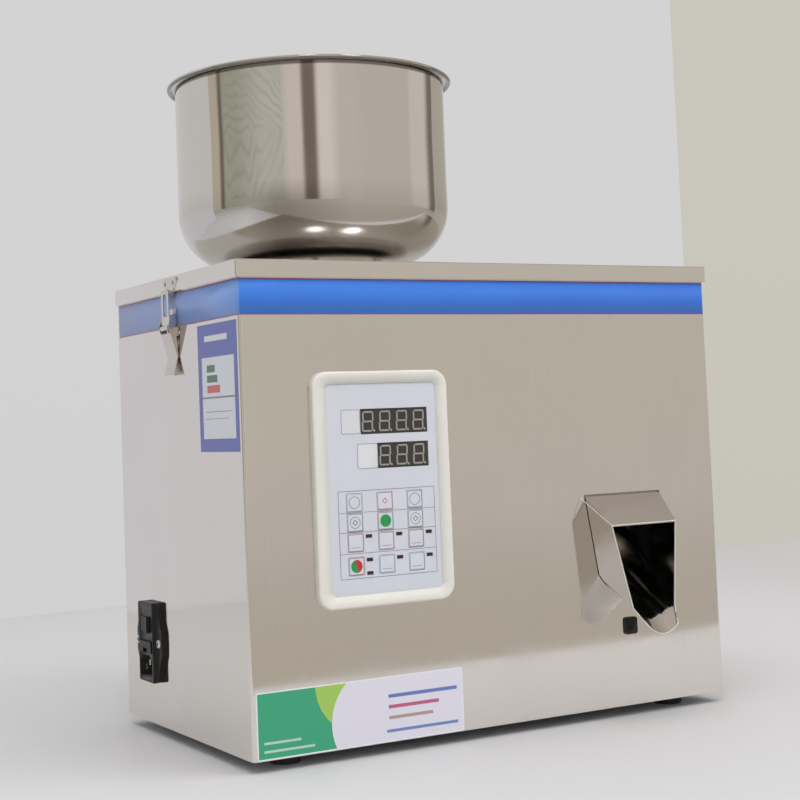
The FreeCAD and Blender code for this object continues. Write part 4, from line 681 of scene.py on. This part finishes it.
def bowlProfile():  # one closed line: neck, bottom, wall, rolled rim and back down inside
    radius, corner, sheet, height = bowl["radius"], bowl["corner"], bowl["sheet"], bowl["height"]
    neck, roll, steps = bowl["neck"], bowl["roll"], bowl["arcSteps"]
    beadX, beadZ = radius + bowl["rim"] - roll, height - roll

    def arc(x, z, reach, start, turn):
        angles = [math.radians(start + turn * step / steps) for step in range(steps + 1)]
        return [(x + reach * math.cos(angle), z + reach * math.sin(angle)) for angle in angles]

    line = [(neck, -bowl["neckLength"])] + [(neck + x, z) for x, z in bowl["neckOut"]]
    line += arc(radius - corner, corner, corner, -90, 90)
    line += [(radius, height * bowl["midWall"])] + [(radius + x, height + z) for x, z in bowl["rimOut"]]
    line += arc(beadX, beadZ, roll, bowl["beadFrom"], bowl["beadTurn"])  # from below, round the outside
    line += [(beadX - bowl["beadTop"], height)] + [(radius + x, height + z) for x, z in bowl["rimIn"]]
    line += [(radius - sheet, height * bowl["midWall"])]
    line += arc(radius - corner, corner, corner - sheet, 0, -90)
    return line + [(neck + x, z) for x, z in bowl["neckIn"]] + [(neck - sheet, -bowl["neckLength"])]


def spinBowl():
    bm = bmesh.new()
    verts = [bm.verts.new((r * mm, 0, z * mm)) for r, z in bowlProfile()]
    edges = [bm.edges.new((a, b)) for a, b in zip(verts, verts[1:] + verts[:1])]
    bmesh.ops.spin(bm, geom=verts + edges, cent=(0, 0, 0), axis=(0, 0, 1), angle=math.radians(360),
                   steps=bowl["steps"], use_merge=True, use_duplicate=False)
    bmesh.ops.remove_doubles(bm, verts=bm.verts, dist=bowl["weld"] * mm)
    bmesh.ops.recalc_face_normals(bm, faces=bm.faces)
    bmesh.ops.translate(bm, vec=Vector((bowl["x"], bowl["y"], bowl["base"])) * mm, verts=bm.verts)
    newPiece("bowl_shell", bm, [finishes["bowl"]], "bowl", bowl["smooth"], ["bowl"])


def shadeBowl():  # painted shade darkens the polished colour under the rolled rim and on the front of the bottom curve, where the dark reflection of the lid falls; the polish is also rougher round the bottom
    tree = finishes["bowl"].node_tree
    shader = tree.nodes["Principled BSDF"]
    polished = shader.inputs["Base Color"].links[0].from_socket
    z = pointAxes(tree)["Z"]
    across = vectorMath(tree, "DOT_PRODUCT", objectPoint(tree), bowlShadeAndDull["acrossWay"])
    frontal = math1(tree, "MULTIPLY", spread(tree, across, *bowlShadeAndDull["left"]),
                    spread(tree, across, *bowlShadeAndDull["right"]))
    # painted shade: a dark band on the front of the bottom curve and a dark line under the rim
    curve = math1(tree, "MULTIPLY", spread(tree, z, *bowlShadeAndDull["curve"]), frontal)
    shadeUnderRim = math1(tree, "MULTIPLY", spread(tree, z, *bowlShadeAndDull["rimLow"]),
                     spread(tree, z, *bowlShadeAndDull["rimHigh"]))
    shaded = math1(tree, "ADD", curve, shadeUnderRim, True)
    feed(tree, shader.inputs["Base Color"], mixColour(tree, shaded, polished, bowlShadeAndDull["shade"]))
    smooth = shader.inputs["Roughness"].links[0].from_socket
    feed(tree, shader.inputs["Roughness"], math1(tree, "ADD", smooth, spread(tree, z, *bowlShadeAndDull["dull"])))


spinBowl()
shadeBowl()
print("bowl spun")

# Control panel print

panel = {"x": -96.7, "z": 181.2, "face": -100.6, "print": 0.05}
inkTones = {
    "mauve": (0.17, 0.14, 0.22), "grey": (0.24, 0.245, 0.29), "box": (0.71, 0.715, 0.75),
    "green": (0.02, 0.33, 0.08), "red": (0.55, 0.03, 0.04), "pink": (0.42, 0.17, 0.25),
    "paleGreen": (0.33, 0.50, 0.47), "dark": (0.10, 0.09, 0.13), "segment": (0.36, 0.345, 0.31),
    "bluish": (0.28, 0.34, 0.50),
}
inkRough = {"green": 0.35, "red": 0.35, "segment": 0.4}  # the others are duller
panelInks = {}
for name, tone in inkTones.items():
    panelInks[name] = moulded(name + "Ink", tone, rough=inkRough.get(name, 0.45), depth=0.002)
ink = {name: index for index, name in enumerate(panelInks)}


def finishPrint(name, bm, y, body, x=0.0, z=0.0):
    thicken(bm, panel["print"])
    faceFront(bm, panel["x"] + x, y, panel["z"] + z)
    newPiece(name, bm, list(panelInks.values()), body)


membraneMarks = {  # left, right, low and high from the panel's middle
    "boxes": ((-32.1, -17.3, 37.2, 53.9), (-20.4, -4.4, 13.3, 30.4)), "corner": 1.6, "line": 0.4,
    "lift": 0.02, "keyField": (-36.6, 39.4, -60.6, -1.2), "fieldLine": 0.36, "rows": (-16.0, -29.3, -43.6),
    "rowLine": 0.32, "rowShort": 0.6,
}


def membranePrint():
    bm = bmesh.new()
    for left, right, low, high in membraneMarks["boxes"]:
        box = ((left + right) / 2, (low + high) / 2, right - left, high - low, membraneMarks["corner"])
        flatBox(bm, *box, material=ink["box"])
        flatBox(bm, *box, material=ink["grey"], line=membraneMarks["line"], lift=membraneMarks["lift"])
    left, right, low, high = membraneMarks["keyField"]
    middle, wide = (left + right) / 2, right - left
    flatBox(bm, middle, (low + high) / 2, wide, high - low, material=ink["mauve"],
            line=membraneMarks["fieldLine"])
    for z in membraneMarks["rows"]:
        flatBox(bm, middle, z, wide - membraneMarks["rowShort"], membraneMarks["rowLine"],
                material=ink["mauve"])
    finishPrint("membrane_print", bm, panel["face"], "cabinet")


keyGrid = {"pitchX": 23.75, "pitchZ": 13.55, "below": 9.2, "lastGap": 2.3, "shift": 0.45, "proud": 0.25}
keyMarks = {"side": 11.5, "corner": 0.8, "line": 0.42, "splitDisc": 4.4, "cut": (1, 0.35, 0),
            "greenDisc": 4.3, "ring": 4.2, "ringDiamond": 4.0, "ringLine": 0.34, "diamond": (3.0, 3.0, 0.2),
            "diamondTurn": 45, "rule": (0, -3.3, 7.4, 0.34)}
keyLooks = {
    "key_clear": ("paleGreen", "ring"), "key_up": ("pink", "diamond"), "key_reset": ("grey", "ring"),
    "key_left": ("grey", "ringDiamond"), "key_start": ("grey", "greenDisc"),
    "key_right": ("grey", "ringDiamond"),
    "key_mode": ("pink", "rule"), "key_down": ("pink", "rule"), "key_fast": ("pink", "rule"),
    "key_power": ("pink", "splitDisc"), "key_feed": ("bluish", "rule"), "key_set": ("bluish", "rule"),
}


def keyPrint(name, x, z):
    frameInk, look = keyLooks[name]
    bm = bmesh.new()
    if look in ("splitDisc", "greenDisc"):
        disc(bm, 0, 0, keyMarks[look], material=ink["green"])
    if look == "splitDisc":
        cut = Vector(keyMarks["cut"])
        whole = bm.verts[:] + bm.edges[:] + bm.faces[:]
        bmesh.ops.bisect_plane(bm, geom=whole, plane_co=(0, 0, 0), plane_no=cut)
        for face in bm.faces:
            if face.calc_center_median().dot(cut) > 0:
                face.material_index = ink["red"]
    if look in ("diamond", "ringDiamond"):
        flatBox(bm, 0, 0, *keyMarks["diamond"], material=ink["red" if look == "diamond" else "dark"],
                line=keyMarks["line"], turn=keyMarks["diamondTurn"])
    if look in ("ring", "ringDiamond"):
        disc(bm, 0, 0, keyMarks[look], material=ink["dark"], line=keyMarks["ringLine"])
    if look == "rule":
        flatBox(bm, *keyMarks["rule"], material=ink["grey"])
    flatBox(bm, 0, 0, keyMarks["side"], keyMarks["side"], keyMarks["corner"], material=ink[frameInk],
            line=keyMarks["line"])
    finishPrint("print_" + name, bm, panel["face"] - keyGrid["proud"], bodyOf[name], x, z)


def makeKeyPrints():
    for index, name in enumerate(keyLooks):
        row, column = divmod(index, 3)
        z = -keyGrid["below"] - keyGrid["pitchZ"] * row - (keyGrid["lastGap"] if row == 3 else 0)
        keyPrint(name, keyGrid["pitchX"] * (column - 1) - keyGrid["shift"], z)


digits = {"height": 14.2, "width": 8.9, "bar": 1.3, "gap": 0.2, "lean": 5.0, "inner": 0.8, "corner": 0.38,
          "pitch": 13.4, "dot": 0.8, "dotAside": 1.0, "dotUp": 0.7, "film": 0.04}
digitRows = {"weight_digits": ("weight_display", 4, 5.6), "count_digits": ("count_display", 3, 6.0)}


def makeDigits(name, node, count, first):  # unlit seven-bar figures behind the window
    low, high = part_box(node)
    bm = bmesh.new()
    tall, wide, bar, gap = digits["height"], digits["width"], digits["bar"], digits["gap"]
    thick, corner = bar * digits["inner"], bar * digits["corner"]
    upright = tall / 2 - bar / 2 - gap * 2
    slope = math.tan(math.radians(digits["lean"]))
    for i in range(count):
        middle = low.x / mm + first + digits["pitch"] * i
        for z in (-1, 0, 1):
            level = z * (tall - bar) / 2
            flatBox(bm, level * slope + middle, level, wide - bar - gap * 2, thick, corner)
        for z in (-1, 1):
            for side in (-1, 1):
                x = middle + side * (wide - bar) / 2 + z * upright / 2 * slope
                flatBox(bm, x, z * (tall - bar) / 4, thick, upright, corner)
        aside = middle + wide / 2 + digits["dotAside"] - tall / 2 * slope
        disc(bm, aside, digits["dotUp"] - tall / 2, digits["dot"], sides=20)
    thicken(bm, digits["film"])
    faceFront(bm, 0, low.y / mm, (low.z + high.z) / 2 / mm)
    newPiece(name, bm, [panelInks["segment"]], "cabinet")


membranePrint()
makeKeyPrints()
for name, (node, count, first) in digitRows.items():
    makeDigits(name, node, count, first)
print("panel printed")

# Floor, backdrop, lamps and camera, with lengths in metres

def stagePlane(name, material, corners):
    bm = bmesh.new()
    bm.faces.new([bm.verts.new(corner) for corner in corners])
    mesh = bpy.data.meshes.new(name)
    bm.to_mesh(mesh)
    bm.free()
    mesh.materials.append(material)
    plane = bpy.data.objects.new(name, mesh)
    collection.objects.link(plane)


floor = {
    "reach": 6.0, "tone": (0.625, 0.618, 0.625), "cloudTone": 0.95, "cloudScale": 2.5, "rough": 0.55,
    "specular": 0.2, "sheetEnd": -0.41, "beyond": (0.49, 0.45, 0.39), "farther": (0.56, 0.525, 0.485),
    "fartherAt": -2.2, "farSeen": (0.66, 0.655, 0.66), "farSpan": (1.0, 2.6),
}
walls = {  # the ends, the tone, and the tones that metal sees low and high
    "wall": ((-1.45, 0.702), (1.667, 1.187), (0.655, 0.65, 0.652), (0.675, 0.66, 0.695),
             (0.635, 0.625, 0.615)),
    "beige": ((1.125, 1.010), (2.4, 0.248), (0.585, 0.565, 0.50), (0.50, 0.47, 0.42), (0.46, 0.43, 0.375)),
}
wallSizes = {"height": 3.0, "footTop": 0.5, "footShade": 0.975, "metalSpan": (0.38, 0.46)}


def floorFinish():  # metal also shows the room beyond the front edge of the pale sheet
    material, tree, shader = newMaterial("paleFloor", Roughness=floor["rough"],
                                         Specular_IOR_Level=floor["specular"])
    y = pointAxes(tree)["Y"]
    path = addNode(tree, "ShaderNodeLightPath").outputs
    cloud = addNoise(tree, floor["cloudScale"], detail=3.0)
    feed(tree, shader.inputs["Base Color"],
         mixColour(tree, cloud, floor["tone"], darker(floor["tone"], floor["cloudTone"])))
    far = spread(tree, vectorMath(tree, "LENGTH", objectPoint(tree)), *floor["farSpan"], 0.0, 1.0)
    farSeen = math1(tree, "MULTIPLY", far, path["Is Camera Ray"])
    plain = mixShader(tree, farSeen, shader.outputs[0], glow(tree, floor["farSeen"]))
    beyond = math1(tree, "LESS_THAN", y, floor["sheetEnd"])
    distance = spread(tree, y, floor["sheetEnd"], floor["fartherAt"], 0.0, 1.0)
    tone = mixColour(tree, distance, floor["beyond"], floor["farther"])
    whole = mixShader(tree, math1(tree, "MULTIPLY", beyond, path["Is Glossy Ray"]), plain, glow(tree, tone))
    feed(tree, tree.nodes["Material Output"].inputs["Surface"], whole)
    return material


def wallFinish(name, colour, low, high):  # a plain tone with painted shade towards the foot, another in metal by height, and open from behind
    material = bpy.data.materials.new(name + "Finish")
    material.use_nodes = True
    tree = material.node_tree
    tree.nodes.clear()
    path = addNode(tree, "ShaderNodeLightPath").outputs
    z = pointAxes(tree)["Z"]
    # painted shade: the wall is slightly darker towards its foot
    shade = spread(tree, z, 0.0, wallSizes["footTop"], wallSizes["footShade"], 1.0)
    toned = addNode(tree, "ShaderNodeVectorMath", {0: colour, 3: shade}, operation="SCALE").outputs[0]
    inMetal = mixColour(tree, spread(tree, z, *wallSizes["metalSpan"], 0.0, 1.0), low, high)
    shown = glow(tree, mixColour(tree, path["Is Glossy Ray"], toned, inMetal))
    matt = addNode(tree, "ShaderNodeBsdfDiffuse", {"Color": toned}).outputs[0]
    seen = math1(tree, "MAXIMUM", path["Is Camera Ray"], path["Is Glossy Ray"])
    back = addNode(tree, "ShaderNodeNewGeometry").outputs["Backfacing"]
    through = addNode(tree, "ShaderNodeBsdfTransparent").outputs[0]
    behind = math1(tree, "MULTIPLY", back, path["Is Camera Ray"])
    whole = mixShader(tree, behind, mixShader(tree, seen, matt, shown), through)
    addNode(tree, "ShaderNodeOutputMaterial", {0: whole})
    return material


def makeRoom():
    far, high = floor["reach"], wallSizes["height"]
    stagePlane("floor", floorFinish(), [(-far, -far, 0), (far, -far, 0), (far, far, 0), (-far, far, 0)])
    for name, (start, end, *tones) in walls.items():
        corners = [(*start, 0), (*end, 0), (*end, high), (*start, high)]
        stagePlane(name + "_backdrop", wallFinish(name, *tones), corners)


sky = {
    "diffuse": (0.67, 0.67, 0.67), "seen": (0.72, 0.715, 0.72),
    "upper": (0.39, 0.355, 0.30), "upperSpan": (0.26, 0.42), "ceiling": (0.56, 0.505, 0.465),
    "ceilingSpan": (0.6, 0.92),
    # painted lamp highlights: where polished metal would see the two lamps, which are hidden from glossy
    # rays, and the cosines at the rim of each
    "spots": ((-0.215, -0.425, 0.879), (0.215, -0.442, 0.871)), "spotEdge": (0.9945, 0.9962),
    "paintedGlintGlow": (4.4, 4.4, 4.5),
    "folds": {"from": -104, "to": -50, "tone": (0.20, 0.19, 0.15), "share": 0.5, "span": (0.86, 0.97),
              "lean": (0.0, 0.5, 0.5)},
    # what polished metal sees from heading to heading in degrees: 0 is to the front, 90 to the right
    "around": {
        "paleWall": (-180, -126, (0.62, 0.61, 0.59)),
        "curtainRail": (-122, -111, (0.51, 0.46, 0.375)),
        "curtainGap": (-108, -107, (0.15, 0.12, 0.085)),
        "curtainShade": (-104, -92, (0.39, 0.39, 0.32)),
        "curtain": (-66, -50, (0.555, 0.54, 0.48)),
        "doorFrame": (-45, -35, (0.67, 0.60, 0.55)),
        "doorPost": (-32, -24, (0.20, 0.16, 0.135)),
        "window": (-20, -12, (0.75, 0.69, 0.65)),
        "nearWall": (-3, 8, (0.61, 0.555, 0.50)),
        "frontWall": (24, 62, (0.57, 0.53, 0.475)),
        "cupboard": (66, 84, (0.66, 0.61, 0.56)),
        "cornerPost": (91, 104, (0.21, 0.18, 0.15)),
        "rightWall": (108, 112, (0.45, 0.42, 0.37)),
        "backWall": (150, 180, (0.60, 0.59, 0.57)),
    },
}


def makeWorld():  # an even pale room; polished metal sees its lighter and darker sides
    world = bpy.data.worlds.new("paleRoom")
    bpy.context.scene.world = world
    world.use_nodes = True
    tree = world.node_tree
    tree.nodes.clear()
    path = addNode(tree, "ShaderNodeLightPath").outputs
    sight = addNode(tree, "ShaderNodeTexCoord").outputs["Generated"]
    axes = addNode(tree, "ShaderNodeSeparateXYZ", {0: sight}).outputs
    turn = math1(tree, "ARCTAN2", axes["X"], math1(tree, "MULTIPLY", axes["Y"], -1.0))
    ramp = addNode(tree, "ShaderNodeValToRGB", {0: spread(tree, turn, -math.pi, math.pi, 0.0, 1.0)})
    stops = ramp.color_ramp.elements
    while len(stops) > 1:
        stops.remove(stops[-1])
    bands = [(heading, colour) for start, end, colour in sky["around"].values() for heading in (start, end)]
    for index, (heading, colour) in enumerate(bands):
        stop = stops[0] if index == 0 else stops.new((heading + 180) / 360)
        stop.position = (heading + 180) / 360
        stop.color = (*colour, 1)
    folds = sky["folds"]
    leaning = addNode(tree, "ShaderNodeMapping", {"Vector": sight, "Rotation": folds["lean"]})
    hang = addNode(tree, "ShaderNodeTexWave", {"Vector": leaning.outputs[0], "Scale": 11.0, "Distortion": 6.0,
                                               "Detail": 0.0, "Detail Scale": 0.6}, bands_direction="Z")
    fold = spread(tree, hang.outputs["Fac"], *folds["span"], 0.0, 1.0)
    onCurtain = math1(tree, "MULTIPLY", math1(tree, "GREATER_THAN", turn, math.radians(folds["from"])),
                      math1(tree, "LESS_THAN", turn, math.radians(folds["to"])))
    folded = math1(tree, "MULTIPLY", math1(tree, "MULTIPLY", fold, onCurtain), folds["share"])
    mirrored = mixColour(tree, folded, ramp.outputs["Color"], folds["tone"])
    for part in ("upper", "ceiling"):
        reached = spread(tree, axes["Z"], *sky[part + "Span"], 0.0, 1.0)
        mirrored = mixColour(tree, reached, mirrored, sky[part])
    # painted highlights: the sky shows glossy rays the lamps' images, when seen straight and not after a
    # diffuse bounce
    spots = 0.0
    for direction in sky["spots"]:
        facing = vectorMath(tree, "DOT_PRODUCT", direction, sight)
        lit = spread(tree, facing, *sky["spotEdge"], 0.0, 1.0)
        spots = math1(tree, "MAXIMUM", lit, spots)
    straight = math1(tree, "LESS_THAN", path["Diffuse Depth"], 0.5)
    mirrored = mixColour(tree, math1(tree, "MULTIPLY", spots, straight), mirrored, sky["paintedGlintGlow"])
    plain = mixColour(tree, path["Is Camera Ray"], sky["diffuse"], sky["seen"])
    seen = mixColour(tree, path["Is Glossy Ray"], plain, mirrored)
    light = addNode(tree, "ShaderNodeBackground", {"Color": seen, "Strength": 1.0})
    addNode(tree, "ShaderNodeOutputWorld", {0: light.outputs[0]})


lamps = {
    "overhead": {"place": (-0.3, -0.7, 2.3), "size": 2.4, "power": 34, "aim": (0, 0, 0.2)},
    "window": {"place": (1.5, -1.3, 1.5), "size": 0.9, "power": 10, "aim": (0, 0, 0.2)},
    "spotLeft": {"place": (-0.53, -0.87, 2.2), "size": 0.4, "power": 2.2, "aim": (-0.1, 0, 0.4)},
    "spotRight": {"place": (0.33, -0.91, 2.2), "size": 0.4, "power": 2.2, "aim": (-0.1, 0, 0.4)},
}


def makeLamps():
    for name, lamp in lamps.items():
        data = bpy.data.lights.new(name, "AREA")
        data.size = lamp["size"]
        data.energy = lamp["power"]
        light = bpy.data.objects.new(name, data)
        light.location = lamp["place"]
        light.visible_glossy = False
        towards = Vector(lamp["aim"]) - Vector(lamp["place"])
        light.rotation_euler = towards.to_track_quat("-Z", "Y").to_euler()
        collection.objects.link(light)


cameraView = {"place": (-0.62266, -1.04008, 0.22458), "turn": (93.8162, 2.2918, -29.1602), "focal": 70.18,
              "shift": (0.025, -0.10), "sensor": 36}


def makeCamera():
    data = bpy.data.cameras.new("photoCamera")
    data.sensor_width = cameraView["sensor"]
    data.lens = cameraView["focal"]
    data.shift_x, data.shift_y = cameraView["shift"]
    camera = bpy.data.objects.new("photoCamera", data)
    camera.location = cameraView["place"]
    camera.rotation_euler = [math.radians(angle) for angle in cameraView["turn"]]
    collection.objects.link(camera)
    bpy.context.scene.camera = camera


makeRoom()
makeWorld()
makeLamps()
makeCamera()
bpy.context.scene.view_settings.view_transform = "Standard"
print("room, lamps and camera set")
